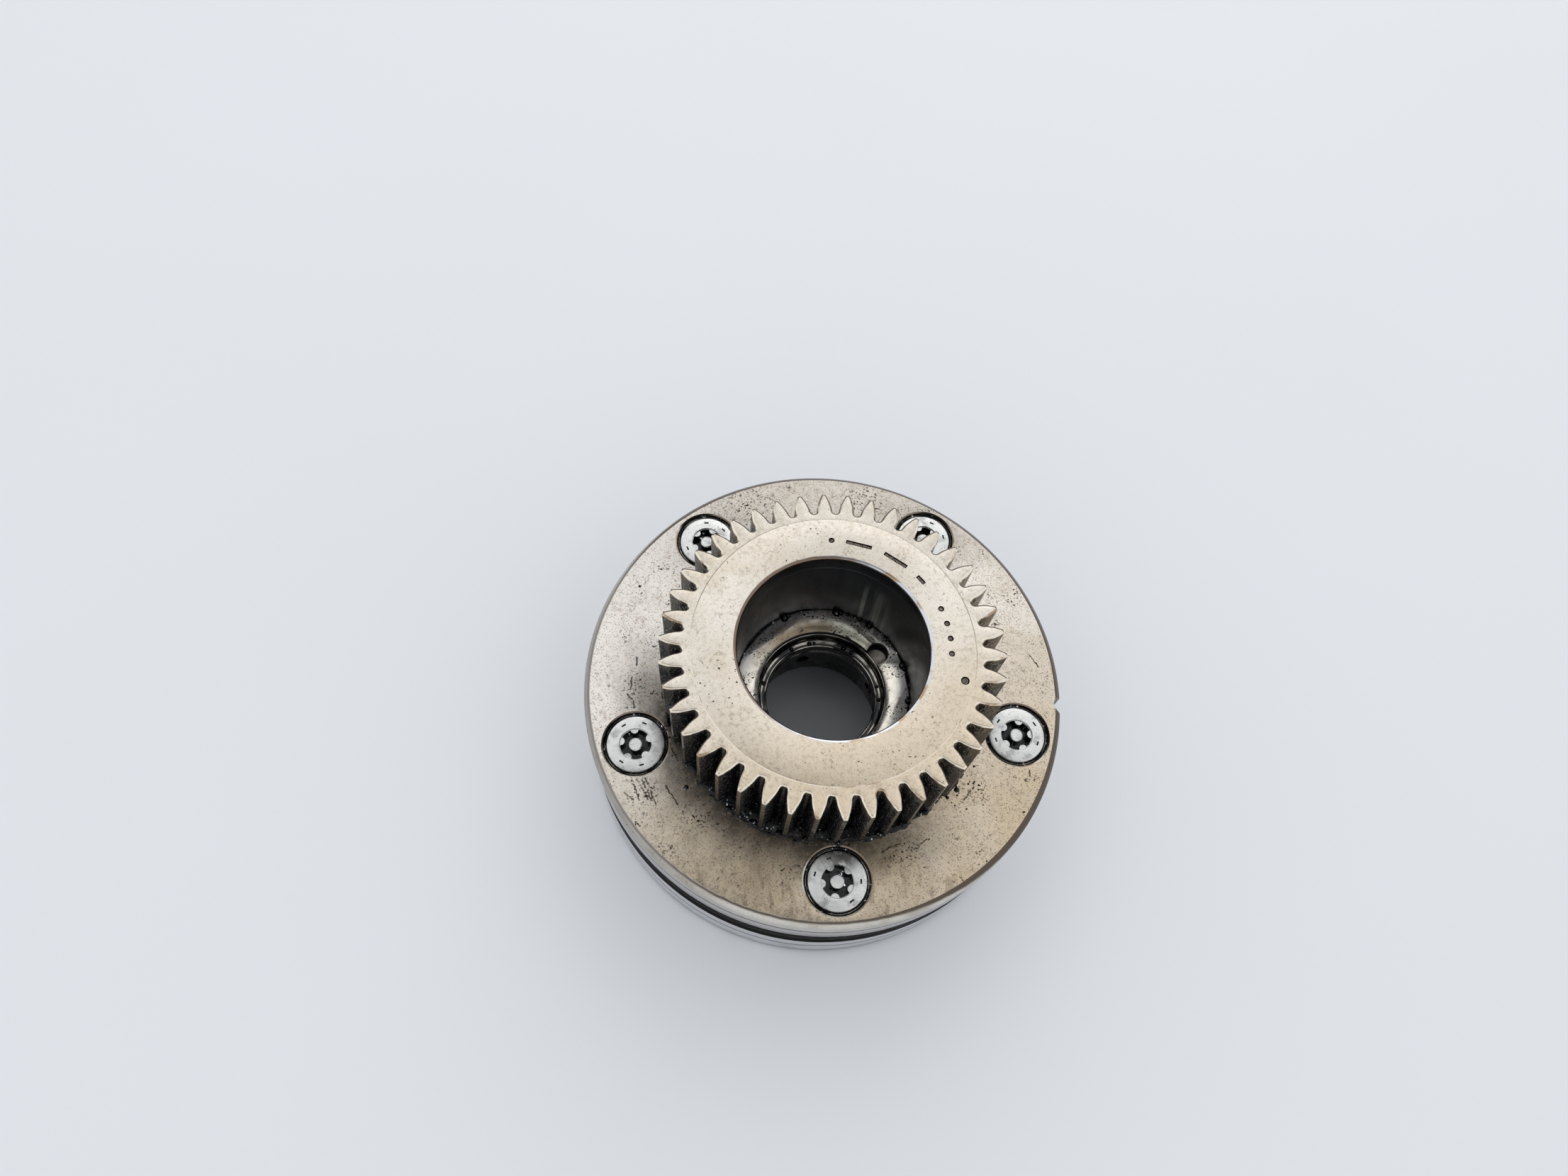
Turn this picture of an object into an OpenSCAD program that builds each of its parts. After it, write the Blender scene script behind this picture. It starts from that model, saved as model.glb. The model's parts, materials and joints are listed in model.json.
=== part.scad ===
// Camshaft phaser of the vane type, with a spur drive gear on its front cover.
// Sizes in millimetres. The axis of rotation is Z, the rear face lies at Z = 0 and the gear is on top.

/* [Housing] */
// Outside diameter of the covers and the stator
body_d = 85; // [82:0.5:100]
// Thickness of the front cover's flange
flange_t = 4.8; // [4.2:0.1:8]
// Height of the stator, which is the height of the oil chambers
stator_h = 16.6; // [15.5:0.1:24]
// Thickness of the rear cover
rear_t = 7; // [6:0.1:12]
// Chamfer on the flange's upper edge
edge_chamfer = 1.1; // [0.4:0.1:1.4]
// Fine chamfer on the edges of the joints between the housing pieces
joint_chamfer = 0.15; // [0.05:0.05:0.3]
// Distance from the stator's top down to its outside groove
groove_drop = 5; // [3:0.1:6]
// Width of the stator's outside groove
groove_w = 7.1; // [4:0.1:8]
// Depth of the stator's outside groove
groove_depth = 2; // [0.5:0.1:2.4]
// Radius of the half-round timing notch in the flange's rim
notch_r = 1.4; // [0.8:0.1:2]
// Angle of the timing notch
notch_angle = -7.3; // [-25:0.1:25]
// Diameter of the dowel that sets the front cover on the stator
locator_d = 3; // [2.5:0.1:3.5]
// Length of that dowel, half of it in each piece
locator_l = 5; // [4:0.1:6]
// Gap around that dowel
locator_gap = 0.02; // [0.01:0.01:0.04]
// Angle between that dowel and the screw beside it
locator_offset = 14; // [13.5:0.5:15]

/* [Drive gear] */
// Number of gear teeth
teeth = 42; // [40:1:43]
// Module of the gear
gear_module = 1.3; // [1.22:0.01:1.32]
// Height of the tooth above the pitch circle
addendum = 1.53; // [1.2:0.01:1.7]
// Depth of the tooth space below the pitch circle
dedendum = 2.3; // [1.9:0.01:2.6]
// Pressure angle of the teeth
pressure_angle = 20; // [18:0.5:22]
// Thinning of each tooth for backlash, on the pitch circle
backlash = 0.1; // [0:0.01:0.2]
// Height of the toothed rim above the flange
gear_h = 16.1; // [10:0.1:24]
// Height of the raised inner face above the toothed rim
face_step = 0.2; // [0.1:0.05:0.6]
// Flat between the raised inner face and the bottom of the tooth spaces
face_land = 1.4; // [0.8:0.1:3]
// Bore that runs on the camshaft
cam_bore_d = 32; // [28:0.1:36]
// Chamfer at the mouth of the camshaft bore
bore_chamfer = 0.6; // [0.2:0.1:1.2]

/* [Cover screws] */
// Number of cover screws, lobes and vanes
sectors = 5; // [4:1:5]
// Distance from the outside of the housing to the screw circle
screw_inset = 7.5; // [7.2:0.1:8]
// Thread diameter of the screws
screw_d = 6; // [5:0.1:6.4]
// Diameter of the screw heads
head_d = 10; // [9:0.1:10.4]
// Height of the screw heads
head_h = 2.7; // [2.4:0.1:3.4]
// Gap around a screw head in its counterbore
head_gap = 0.65; // [0.3:0.05:0.9]
// Depth of the screw heads below the flange face
head_sink = 0.15; // [0.05:0.05:0.4]
// Diameter of the round mouth of the five-lobed socket
socket_d = 5.5; // [4.6:0.1:6]
// Depth of that mouth above the lobes
socket_mouth = 0.25; // [0.1:0.05:0.5]
// Depth of the socket
socket_depth = 1.7; // [1:0.1:2]
// Diameter of the guard pin in the socket
guard_pin_d = 2.3; // [1.6:0.1:2.6]
// Gap around the screw shanks in the flange and the stator
shank_gap = 0.2; // [0.1:0.05:0.3]
// Gap that stands for the thread flanks in the rear cover
thread_gap = 0.04; // [0.02:0.01:0.1]

/* [Rotor] */
// Diameter of the rotor hub
rotor_d = 48; // [46:0.5:52]
// Wall of the stator outside the oil chambers
chamber_wall = 5; // [4:0.1:6]
// Angle through which the rotor turns from stop to stop
travel = 25; // [16:1:28]
// Spare angle left between vane and lobe at each stop
stop_margin = 0.3; // [0.2:0.1:1]
// Running gap around the rotor, its boss and the vane tips
run_gap = 0.05; // [0.03:0.01:0.08]
// Diameter of the boss that runs in the rear cover
boss_d = 27.6; // [27:0.1:28]
// Length of that boss below the rotor
boss_h = 2.9; // [1.5:0.1:5]
// Diameter of the pilot recess for the camshaft's nose
pilot_d = 23.4; // [22:0.1:24.5]
// Depth of the pilot recess
pilot_depth = 4.2; // [2:0.1:5]
// Diameter of the land between the pilot and the valve bore
land_d = 20.3; // [18:0.1:21.5]
// Height of that land
land_h = 3.6; // [2:0.1:5]
// Diameter of the bore for the central valve
valve_bore_d = 24.2; // [22:0.1:25]
// Width of the chamfer around the pilot recess
pilot_chamfer = 1.2; // [0.4:0.1:1.6]
// Diameter of the notch for the camshaft's dowel
dowel_d = 4.1; // [3:0.1:5]
// Distance of the dowel notch from the axis
dowel_circle_r = 12.75; // [12:0.05:13.5]
// Depth of the dowel notch
dowel_depth = 3; // [2:0.1:4]
// Angle of the dowel notch
dowel_angle = 33; // [20:0.5:44]
// Diameter of the oil ports to the chambers
port_d = 2.4; // [1.5:0.1:3]
// Angle between a vane and its oil ports
port_angle = 9; // [7:0.5:12]

/* [Vanes] */
// Thickness of a vane
vane_t = 2.8; // [2:0.1:3.6]
// Gap on each side of a vane in its slot
slot_gap = 0.03; // [0.02:0.01:0.06]
// Depth of the vane slots in the rotor hub
slot_depth = 5.5; // [4.5:0.1:6]
// Room below a vane for its spring
spring_room = 1; // [0.8:0.05:1.3]
// Thickness of the leaf springs
leaf_t = 0.3; // [0.2:0.05:0.4]
// Length of the leaf springs
leaf_l = 13; // [9:0.1:14.5]

/* [Lock] */
// Diameter of the lock pin
lock_d = 6; // [5:0.1:6.4]
// Radial gap around the lock pin
lock_gap = 0.03; // [0.02:0.01:0.06]
// Distance of the lock pin from the axis
lock_circle_r = 19.3; // [19:0.1:19.8]
// Wall of the hollow lock pin
lock_wall = 0.75; // [0.6:0.05:0.9]
// Thickness of the lock pin's closed end
lock_floor = 2.4; // [1.5:0.1:3]
// Distance by which the pin can be pressed back
lock_stroke = 3.5; // [2:0.1:3.6]
// Extra radius of the lock recess around the pin
recess_gap = 0.25; // [0.1:0.05:0.4]
// Depth of the lock recess in the rear cover
recess_depth = 4; // [3:0.1:5]
// Wall of the hardened bush in the lock recess
bush_wall = 1.2; // [0.8:0.1:1.3]
// Gap around that bush
bush_gap = 0.02; // [0.01:0.01:0.04]
// Thickness of the spring seat
seat_t = 2.5; // [1.5:0.1:3]
// Ledge that carries the spring seat
seat_ledge = 0.5; // [0.3:0.1:0.7]
// Wire diameter of the lock spring
wire_d = 0.6; // [0.4:0.05:0.7]
// Number of turns of the lock spring
coil_turns = 8; // [5:1:9]

/* [Hidden] */
$fn = 96;
cut = 1;            // how far a cutting tool passes the face it opens
flank_steps = 4;    // straight stretches on each tooth flank
root_steps = 6;     // straight stretches round each tooth root
sink = 1;           // how far the toothed rim reaches into the flange
wire_sides = 8;
wire_steps = 14;

body_r = body_d / 2;
rear_z = rear_t;
split_z = rear_z + stator_h;
flange_z = split_z + flange_t;
tooth_z = flange_z + gear_h;
face_z = tooth_z + face_step;

pitch_r = teeth * gear_module / 2;
tip_r = pitch_r + addendum;
root_r = pitch_r - dedendum;
base_r = pitch_r * cos(pressure_angle);
face_r = root_r - face_land;
tooth_half = (PI * gear_module / 2 - backlash) / 2 / pitch_r * 180 / PI;

screw_circle_r = body_r - screw_inset;
counterbore_r = head_d / 2 + head_gap;
counterbore_depth = head_sink + head_h;
shank_r = screw_d / 2;
head_chamfer = 0.3;
thread_chamfer = 0.6;
shank_end_z = 0.8;

pitch_angle = 360 / sectors;
screw_angle = -90;
vane_angle = screw_angle + pitch_angle / 2;
locator_angle = screw_angle + 2 * pitch_angle + locator_offset;
locator_room = 0.3; // above the dowel in its hole

lock_r = lock_d / 2;
lock_bore_r = lock_r + lock_gap;
seat_r = lock_bore_r + seat_ledge;
bush_inner_r = lock_r + recess_gap;
bush_r = bush_inner_r + bush_wall;
least_wall = 0.5;   // of the hub outside the lock spring's seat, and of the rear cover beside the lock bush

rotor_r = max(rotor_d / 2, lock_circle_r + seat_r + least_wall);
chamber_r = body_r - chamber_wall;
chamber_half = travel / 2 + asin(vane_t / 2 / rotor_r) + stop_margin;
corner_relief_r = 0.9;
rotor_z = rear_z + run_gap;
rotor_h = stator_h - 2 * run_gap;
rotor_top = rotor_z + rotor_h;
boss_r = min(boss_d / 2, lock_circle_r - bush_r - bush_gap - run_gap - least_wall);
boss_z = rotor_z - boss_h;
land_top = rotor_top - pilot_depth;
land_z = land_top - land_h;
pilot_chamfer_h = pilot_chamfer / 2;
land_chamfer = 0.4;
port_low_z = rotor_z + port_d / 2 + least_wall;
port_high_z = land_z - port_d / 2 - least_wall / 2;

slot_r = rotor_r - slot_depth;
vane_r = slot_r + spring_room;
vane_tip_r = chamber_r - run_gap;
leaf_rise = spring_room - leaf_t - 2 * slot_gap;
leaf_r = (leaf_l * leaf_l / 4 + leaf_rise * leaf_rise) / (2 * leaf_rise);

seat_z = rotor_top - seat_t;
stroke_gap = 0.3;   // left between pin and seat when the pin is pressed back
lock_l = seat_z - rotor_z - lock_stroke - stroke_gap;
lock_angle = screw_angle;
recess_angle = lock_angle - travel / 2;
channel_w = 1.6;
channel_depth = 1;
channel_end_r = rotor_r + 1.5;
channel_end_angle = screw_angle - pitch_angle / 2 + chamber_half - 3;
pin_inner_r = lock_r - lock_wall;
spring_z = rotor_z + lock_floor;
wire_r = wire_d / 2;
coil_gap = 0.1;     // between the spring and the lock pin
stem_gap = 0.2;     // between the spring and the stem inside it
coil_r = pin_inner_r - wire_r - coil_gap;
stem_r = coil_r - wire_r - stem_gap;
stem_l = 3;

// A point on a circle
function polar(r, a) = [r * cos(a), r * sin(a)];

// Involute function, in degrees
function involute(a) = tan(a) * 180 / PI - a;

// Half of the angle that a tooth takes up at a radius
function tooth_angle(r) = tooth_half + involute(pressure_angle) - involute(acos(min(1, base_r / r)));

// One tooth from its right flank over the tip to the bottom of the next space
function tooth_points(a) =
    let (step = (tip_r - base_r) / flank_steps)
    let (gap_start = a + tooth_angle(base_r))
    let (gap = 360 / teeth - 2 * tooth_angle(base_r))
    concat(
        [for (i = [0 : flank_steps]) polar(base_r + i * step, a - tooth_angle(base_r + i * step))],
        [for (i = [0 : flank_steps]) polar(tip_r - i * step, a + tooth_angle(tip_r - i * step))],
        [for (i = [1 : root_steps - 1])
            let (t = 2 * i / root_steps - 1)
            polar(base_r - (base_r - root_r) * sqrt(1 - t * t), gap_start + gap * i / root_steps)]);

module gear_outline() {
    polygon([for (k = [0 : teeth - 1]) each tooth_points(90 + k * 360 / teeth)]);
}

// Places children at every screw
module at_screws() {
    for (k = [0 : sectors - 1])
        rotate(screw_angle + k * pitch_angle)
            translate([screw_circle_r, 0, 0])
                children();
}

// Flat wedge from the axis out past a radius
module wedge(r, half_angle) {
    reach = r / cos(half_angle) + cut;
    polygon([[0, 0], polar(reach, -half_angle), polar(reach, half_angle)]);
}

// Oil chamber between two lobes, with relieved corners
module chamber_outline() {
    intersection() {
        circle(chamber_r);
        wedge(chamber_r, chamber_half);
    }
    for (side = [-1, 1])
        rotate(side * chamber_half)
            translate([chamber_r - 0.7 * corner_relief_r, 0])
                circle(corner_relief_r, $fn = 32);
}

// Front cover: a flange that closes the chambers, with the drive gear standing on it
module gear_cover() {
    color("tan")
    difference() {
        union() {
            rotate_extrude()
                polygon([
                    [0, split_z],
                    [body_r - joint_chamfer, split_z],
                    [body_r, split_z + joint_chamfer],
                    [body_r, flange_z - edge_chamfer],
                    [body_r - edge_chamfer, flange_z],
                    [0, flange_z]]);
            translate([0, 0, flange_z - sink])
                linear_extrude(gear_h + sink)
                    gear_outline();
            translate([0, 0, flange_z])
                cylinder(r = face_r, h = face_z - flange_z);
        }
        translate([0, 0, split_z - cut])
            cylinder(d = cam_bore_d, h = face_z - split_z + 2 * cut);
        translate([0, 0, face_z - bore_chamfer])
            cylinder(d1 = cam_bore_d, d2 = cam_bore_d + 2 * bore_chamfer + 2 * cut, h = bore_chamfer + cut);
        at_screws() {
            translate([0, 0, split_z - cut])
                cylinder(r = shank_r + shank_gap, h = flange_t + cut);
            translate([0, 0, flange_z - counterbore_depth])
                cylinder(r = counterbore_r, h = counterbore_depth + head_sink);
        }
        rotate(notch_angle)
            translate([body_r, 0, split_z - cut])
                cylinder(r = notch_r, h = flange_t + 2 * cut, $fn = 32);
        translate(concat(polar(screw_circle_r, locator_angle), split_z - cut))
            cylinder(r = locator_d / 2 + locator_gap, h = locator_l / 2 + locator_room + cut, $fn = 48);
    }
}

// Middle ring: inward lobes part the oil chambers and carry the screws
module stator() {
    groove_top = split_z - groove_drop;
    color("dimgray")
    difference() {
        rotate_extrude()
            polygon([
                [0, rear_z],
                [body_r - joint_chamfer, rear_z],
                [body_r, rear_z + joint_chamfer],
                [body_r, groove_top - groove_w],
                [body_r - groove_depth, groove_top - groove_w],
                [body_r - groove_depth, groove_top],
                [body_r, groove_top],
                [body_r, split_z - joint_chamfer],
                [body_r - joint_chamfer, split_z],
                [0, split_z]]);
        translate([0, 0, rear_z - cut])
            linear_extrude(stator_h + 2 * cut) {
                circle(rotor_r + run_gap);
                for (k = [0 : sectors - 1])
                    rotate(vane_angle + k * pitch_angle)
                        chamber_outline();
            }
        translate([0, 0, rear_z - cut])
            at_screws()
                cylinder(r = shank_r + shank_gap, h = stator_h + 2 * cut);
        translate(concat(polar(screw_circle_r, locator_angle), split_z - locator_l / 2))
            cylinder(r = locator_d / 2 + locator_gap, h = locator_l / 2 + cut, $fn = 48);
    }
}

// Rear cover: closes the chambers, takes the screw threads, and has the recess for the lock pin
module rear_cover() {
    color("silver")
    difference() {
        rotate_extrude()
            polygon([
                [0, 0],
                [body_r - edge_chamfer / 2, 0],
                [body_r, edge_chamfer / 2],
                [body_r, rear_z - joint_chamfer],
                [body_r - joint_chamfer, rear_z],
                [0, rear_z]]);
        translate([0, 0, -cut])
            cylinder(r = boss_r + run_gap, h = rear_t + 2 * cut);
        translate([0, 0, -cut])
            cylinder(r1 = boss_r + bore_chamfer + cut, r2 = boss_r, h = bore_chamfer + cut);
        translate([0, 0, -cut])
            at_screws()
                cylinder(r = shank_r + thread_gap, h = rear_t + 2 * cut);
        at_screws()
            translate([0, 0, -cut])
                cylinder(r1 = shank_r + thread_chamfer + cut, r2 = shank_r, h = thread_chamfer + cut);
        translate(concat(polar(lock_circle_r, recess_angle), rear_z - recess_depth))
            cylinder(r = bush_r + bush_gap, h = recess_depth + cut, $fn = 48);
        oil_channel();
    }
}

// Channel that leads oil from a chamber to the lock recess
module oil_channel() {
    from = polar(lock_circle_r, recess_angle);
    to = polar(channel_end_r, channel_end_angle);
    run = to - from;
    translate([from[0], from[1], rear_z - channel_depth])
        rotate(atan2(run[1], run[0]))
            translate([0, -channel_w / 2, 0])
                cube([norm(run), channel_w, channel_depth + cut]);
}

// Five-lobed socket outline: a circle with five round ribs standing in it
module socket_outline() {
    over_lobes = 0.96 * socket_d;
    difference() {
        circle(d = over_lobes);
        for (k = [0 : 4])
            rotate(72 * k)
                translate([over_lobes / 2, 0])
                    circle(0.13 * socket_d, $fn = 24);
    }
}

// One cover screw with a low head and a guarded five-lobed socket
module cover_screw() {
    head_z = flange_z - head_sink;
    seat = head_z - head_h;
    head_r = head_d / 2;
    difference() {
        rotate_extrude()
            polygon([
                [0, shank_end_z],
                [shank_r - thread_chamfer, shank_end_z],
                [shank_r, shank_end_z + thread_chamfer],
                [shank_r, seat],
                [head_r, seat],
                [head_r, head_z - head_chamfer],
                [head_r - head_chamfer, head_z],
                [0, head_z]]);
        difference() {
            union() {
                translate([0, 0, head_z - socket_depth])
                    linear_extrude(socket_depth + cut)
                        socket_outline();
                translate([0, 0, head_z - socket_mouth])
                    cylinder(d = socket_d, h = socket_mouth + cut);
            }
            translate([0, 0, head_z - socket_depth - cut])
                cylinder(d = guard_pin_d, h = socket_depth + cut - head_sink, $fn = 32);
        }
    }
}

module cover_screws() {
    color("lightgray")
    at_screws()
        cover_screw();
}

// Dowel between the front cover and the stator, which keeps the gear in time with the chambers
module cover_dowel() {
    half_l = locator_l / 2;
    pin_r = locator_d / 2;
    end_chamfer = 0.4;
    color("darkgray")
    translate(concat(polar(screw_circle_r, locator_angle), split_z))
        rotate_extrude()
            polygon([
                [0, -half_l],
                [pin_r - end_chamfer, -half_l],
                [pin_r, end_chamfer - half_l],
                [pin_r, half_l - end_chamfer],
                [pin_r - end_chamfer, half_l],
                [0, half_l]]);
}

// Rotor hub with vane slots, oil ports, lock bore and the stepped centre bore
module rotor() {
    color("peru")
    difference() {
        union() {
            translate([0, 0, rotor_z])
                cylinder(r = rotor_r, h = rotor_h);
            translate([0, 0, boss_z])
                cylinder(r = boss_r, h = boss_h + rotor_h / 2);
        }
        rotate_extrude()
            polygon([
                [0, boss_z - cut],
                [valve_bore_d / 2, boss_z - cut],
                [valve_bore_d / 2, land_z],
                [land_d / 2 + land_chamfer, land_z],
                [land_d / 2, land_z + land_chamfer],
                [land_d / 2, land_top - land_chamfer],
                [land_d / 2 + land_chamfer, land_top],
                [pilot_d / 2, land_top],
                [pilot_d / 2, rotor_top - pilot_chamfer_h],
                [pilot_d / 2 + pilot_chamfer, rotor_top],
                [pilot_d / 2 + pilot_chamfer, rotor_top + cut],
                [0, rotor_top + cut]]);
        for (k = [0 : sectors - 1])
            rotate(vane_angle + k * pitch_angle) {
                translate([slot_r, -vane_t / 2 - slot_gap, rotor_z - cut])
                    cube([slot_depth + cut, vane_t + 2 * slot_gap, rotor_h + 2 * cut]);
                oil_port(port_angle, port_low_z);
                oil_port(-port_angle, port_high_z);
            }
        translate(polar(lock_circle_r, lock_angle)) {
            translate([0, 0, rotor_z - cut])
                cylinder(r = lock_bore_r, h = rotor_h + cut, $fn = 48);
            translate([0, 0, seat_z])
                cylinder(r = seat_r, h = seat_t + cut, $fn = 48);
        }
        translate(concat(polar(dowel_circle_r, dowel_angle), rotor_top - dowel_depth))
            cylinder(d = dowel_d, h = dowel_depth + cut, $fn = 48);
    }
}

// Radial drilling from the centre bore to the outside of the hub
module oil_port(angle, z) {
    rotate(angle)
        translate([land_d / 2 - cut, 0, z])
            rotate([0, 90, 0])
                cylinder(d = port_d, h = rotor_r - land_d / 2 + 2 * cut, $fn = 24);
}

// Sliding vane number k, a plate with its tip rounded to the chamber wall
module vane(k) {
    color("gray")
    rotate(vane_angle + (k - 1) * pitch_angle)
        intersection() {
            translate([vane_r, -vane_t / 2, rotor_z])
                cube([chamber_r - vane_r, vane_t, rotor_h]);
            cylinder(r = vane_tip_r, h = split_z);
        }
}

// Bowed leaf spring under vane number k, its ends on the slot's floor
module vane_spring(k) {
    leaf_w = vane_t - 2 * slot_gap;
    centre_x = slot_r + slot_gap + leaf_rise - leaf_r;
    color("lightsteelblue")
    rotate(vane_angle + (k - 1) * pitch_angle)
        translate([0, leaf_w / 2, rotor_z + rotor_h / 2])
            rotate([90, 0, 0])
                linear_extrude(leaf_w)
                    intersection() {
                        difference() {
                            translate([centre_x, 0])
                                circle(leaf_r + leaf_t);
                            translate([centre_x, 0])
                                circle(leaf_r);
                        }
                        translate([slot_r, -leaf_l / 2])
                            square([spring_room, leaf_l]);
                    }
}

// Hollow lock pin, its closed end towards the rear cover
module lock_pin() {
    tip_chamfer = 0.4;
    color("darkgray")
    translate(polar(lock_circle_r, lock_angle))
        rotate_extrude()
            polygon([
                [0, rotor_z],
                [lock_r - tip_chamfer, rotor_z],
                [lock_r, rotor_z + tip_chamfer],
                [lock_r, rotor_z + lock_l],
                [pin_inner_r, rotor_z + lock_l],
                [pin_inner_r, spring_z],
                [0, spring_z]]);
}

// Height of the spring's wire after a number of turns: flat end turns, even pitch between them
function coil_z(turn) =
    let (low = spring_z + wire_r)
    let (high = seat_z - wire_r)
    let (flat = 1.05 * wire_d)
    let (pitch = (high - low - 2 * flat) / (coil_turns - 2))
    turn < 1 ? low + flat * turn
    : turn > coil_turns - 1 ? high - flat * (coil_turns - turn)
    : low + flat + pitch * (turn - 1);

// Coil spring between the lock pin and its seat
module lock_spring() {
    rings = coil_turns * wire_steps;
    points = [for (i = [0 : rings], j = [0 : wire_sides - 1])
        let (a = 360 * i / wire_steps)
        let (b = 360 * j / wire_sides)
        let (r = coil_r + wire_r * cos(b))
        [r * cos(a), r * sin(a), coil_z(i / wire_steps) + wire_r * sin(b)]];
    sides = [for (i = [0 : rings - 1], j = [0 : wire_sides - 1])
        let (n = (j + 1) % wire_sides)
        let (p = i * wire_sides)
        let (q = p + wire_sides)
        each [[p + j, p + n, q + j], [p + n, q + n, q + j]]];
    start_cap = [for (j = [wire_sides - 1 : -1 : 0]) j];
    end_cap = [for (j = [0 : wire_sides - 1]) rings * wire_sides + j];
    color("silver")
    translate(polar(lock_circle_r, lock_angle))
        polyhedron(points, concat(sides, [start_cap, end_cap]));
}

// Plug with a stem that carries the lock spring, seated on a ledge in the rotor
module lock_spring_seat() {
    color("ivory")
    translate(polar(lock_circle_r, lock_angle)) {
        translate([0, 0, seat_z])
            cylinder(r = seat_r - lock_gap, h = seat_t - run_gap, $fn = 48);
        translate([0, 0, seat_z - stem_l])
            cylinder(r = stem_r, h = stem_l + seat_t / 2, $fn = 32);
    }
}

// Hardened bush that takes the lock pin, sunk below the oil channel
module lock_bush() {
    color("slategray")
    translate(concat(polar(lock_circle_r, recess_angle), rear_z - recess_depth))
        difference() {
            cylinder(r = bush_r, h = recess_depth - channel_depth, $fn = 48);
            translate([0, 0, -cut])
                cylinder(r = bush_inner_r, h = recess_depth + cut, $fn = 48);
        }
}

gear_cover();
stator();
rear_cover();
cover_screws();
cover_dowel();
rotor();
for (k = [1 : sectors]) vane(k);
for (k = [1 : sectors]) vane_spring(k);
lock_pin();
lock_spring();
lock_spring_seat();
lock_bush();
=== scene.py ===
"""Looks of the cam phaser: oily tempered steel with a spur gear, five guarded screws and a stepped bore."""
import json
import math

import bmesh
import bpy
from mathutils import Matrix, Vector
from mathutils.geometry import delaunay_2d_cdt


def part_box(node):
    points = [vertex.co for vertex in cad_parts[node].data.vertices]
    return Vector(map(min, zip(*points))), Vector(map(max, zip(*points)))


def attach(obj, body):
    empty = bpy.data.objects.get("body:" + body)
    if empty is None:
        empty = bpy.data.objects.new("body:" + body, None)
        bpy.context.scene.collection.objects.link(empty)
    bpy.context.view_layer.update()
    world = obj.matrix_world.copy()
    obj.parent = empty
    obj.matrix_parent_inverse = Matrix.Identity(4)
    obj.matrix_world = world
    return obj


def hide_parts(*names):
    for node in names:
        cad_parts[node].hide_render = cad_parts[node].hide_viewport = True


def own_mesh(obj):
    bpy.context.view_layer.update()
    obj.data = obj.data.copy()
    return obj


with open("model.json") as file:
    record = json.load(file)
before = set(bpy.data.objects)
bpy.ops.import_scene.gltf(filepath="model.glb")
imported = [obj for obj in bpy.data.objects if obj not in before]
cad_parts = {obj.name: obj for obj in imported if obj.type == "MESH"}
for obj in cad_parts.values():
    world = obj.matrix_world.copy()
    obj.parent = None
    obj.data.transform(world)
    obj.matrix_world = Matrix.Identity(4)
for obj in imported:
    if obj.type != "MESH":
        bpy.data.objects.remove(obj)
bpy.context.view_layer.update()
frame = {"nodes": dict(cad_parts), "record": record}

# Shapes are worked out in millimetres and turned into metres when their mesh is made
MM = 0.001
# Points closer than this many metres are welded
WELD = 2e-6

# Sizes that the frame gives
BODY_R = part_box("stator")[1].x / MM
REAR_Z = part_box("rear_cover")[1].z / MM
SPLIT_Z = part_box("stator")[1].z / MM
FACE_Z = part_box("gear_cover")[1].z / MM
ROTOR_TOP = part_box("rotor")[1].z / MM
MOUNTS = {mount["name"]: mount["dims"] for mount in frame["record"]["mounts"]}
BORE_R = MOUNTS["cam_bore"]["r_mm"]
PILOT_R = MOUNTS["cam_pilot"]["r_mm"]

# Front cover
FLANGE_Z = SPLIT_Z + 4.8
TOOTH_Z = FACE_Z - 0.2
EDGE_ROUND = 1.1
EDGE_CURVE = 1.4
EDGE_SHARES = (1, 0.85, 0.65, 0.4, 0.15, 0)
JOINT_CHAMFER = 0.15
NOTCH_R = 1.4
NOTCH_ANGLE = math.radians(-7.3)
NOTCH_STEPS = 10
RIM_STEPS = 240
FACE_R = 23.6
STEP_FOOT_R = FACE_R + 0.16
BORE_LIP = 0.6
BORE_LINE_DROP = 3.4
BORE_LINE_W = 0.2
BORE_LINE_DEPTH = 0.06
BORE_FOOT_CHAMFER = 0.3
LOCATOR_R = 1.52
LOCATOR_DEPTH = 2.8
LOCATOR_ANGLE = math.radians(68)

# Stamped marks on the raised face: angles in degrees, and inset and depth from a mark's edge to its floor
MARK_R = 19.5
DOTS = (87.7, 18.7, 10.5, 2.5, -5.5)
DOT_R = 0.52
DOT_PROFILE = ((0.0, 0.0), (0.08, 0.2), (0.22, 0.12))
DASHES = ((66.9, 80.3), (46.7, 60.0), (34.3, 39.6))
DASH_W = 0.72
DASH_PROFILE = ((0.0, 0.0), (0.06, 0.22), (0.2, 0.14))
PUNCH_CIRCLE_R = 22.1
PUNCH_ANGLE = -17.5
PUNCH_R = 0.72

# Drive gear; the tooth's rounded top edge is given as inset and drop
TEETH = 42
MODULE = 1.3
PITCH_R = TEETH * MODULE / 2
TIP_R = PITCH_R + 1.53
ROOT_R = PITCH_R - 2.3
PRESSURE = math.radians(20)
BASE_R = PITCH_R * math.cos(PRESSURE)
BACKLASH = 0.1
FIRST_TOOTH = math.radians(90)
TOOTH_EDGE = ((0.0, 0.34), (0.08, 0.15), (0.2, 0.04), (0.34, 0.0))
FOOT_FILLET = 0.25
FLANK_STEPS = 7
ROOT_STEPS = 5
ARC_STEPS = 4

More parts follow.
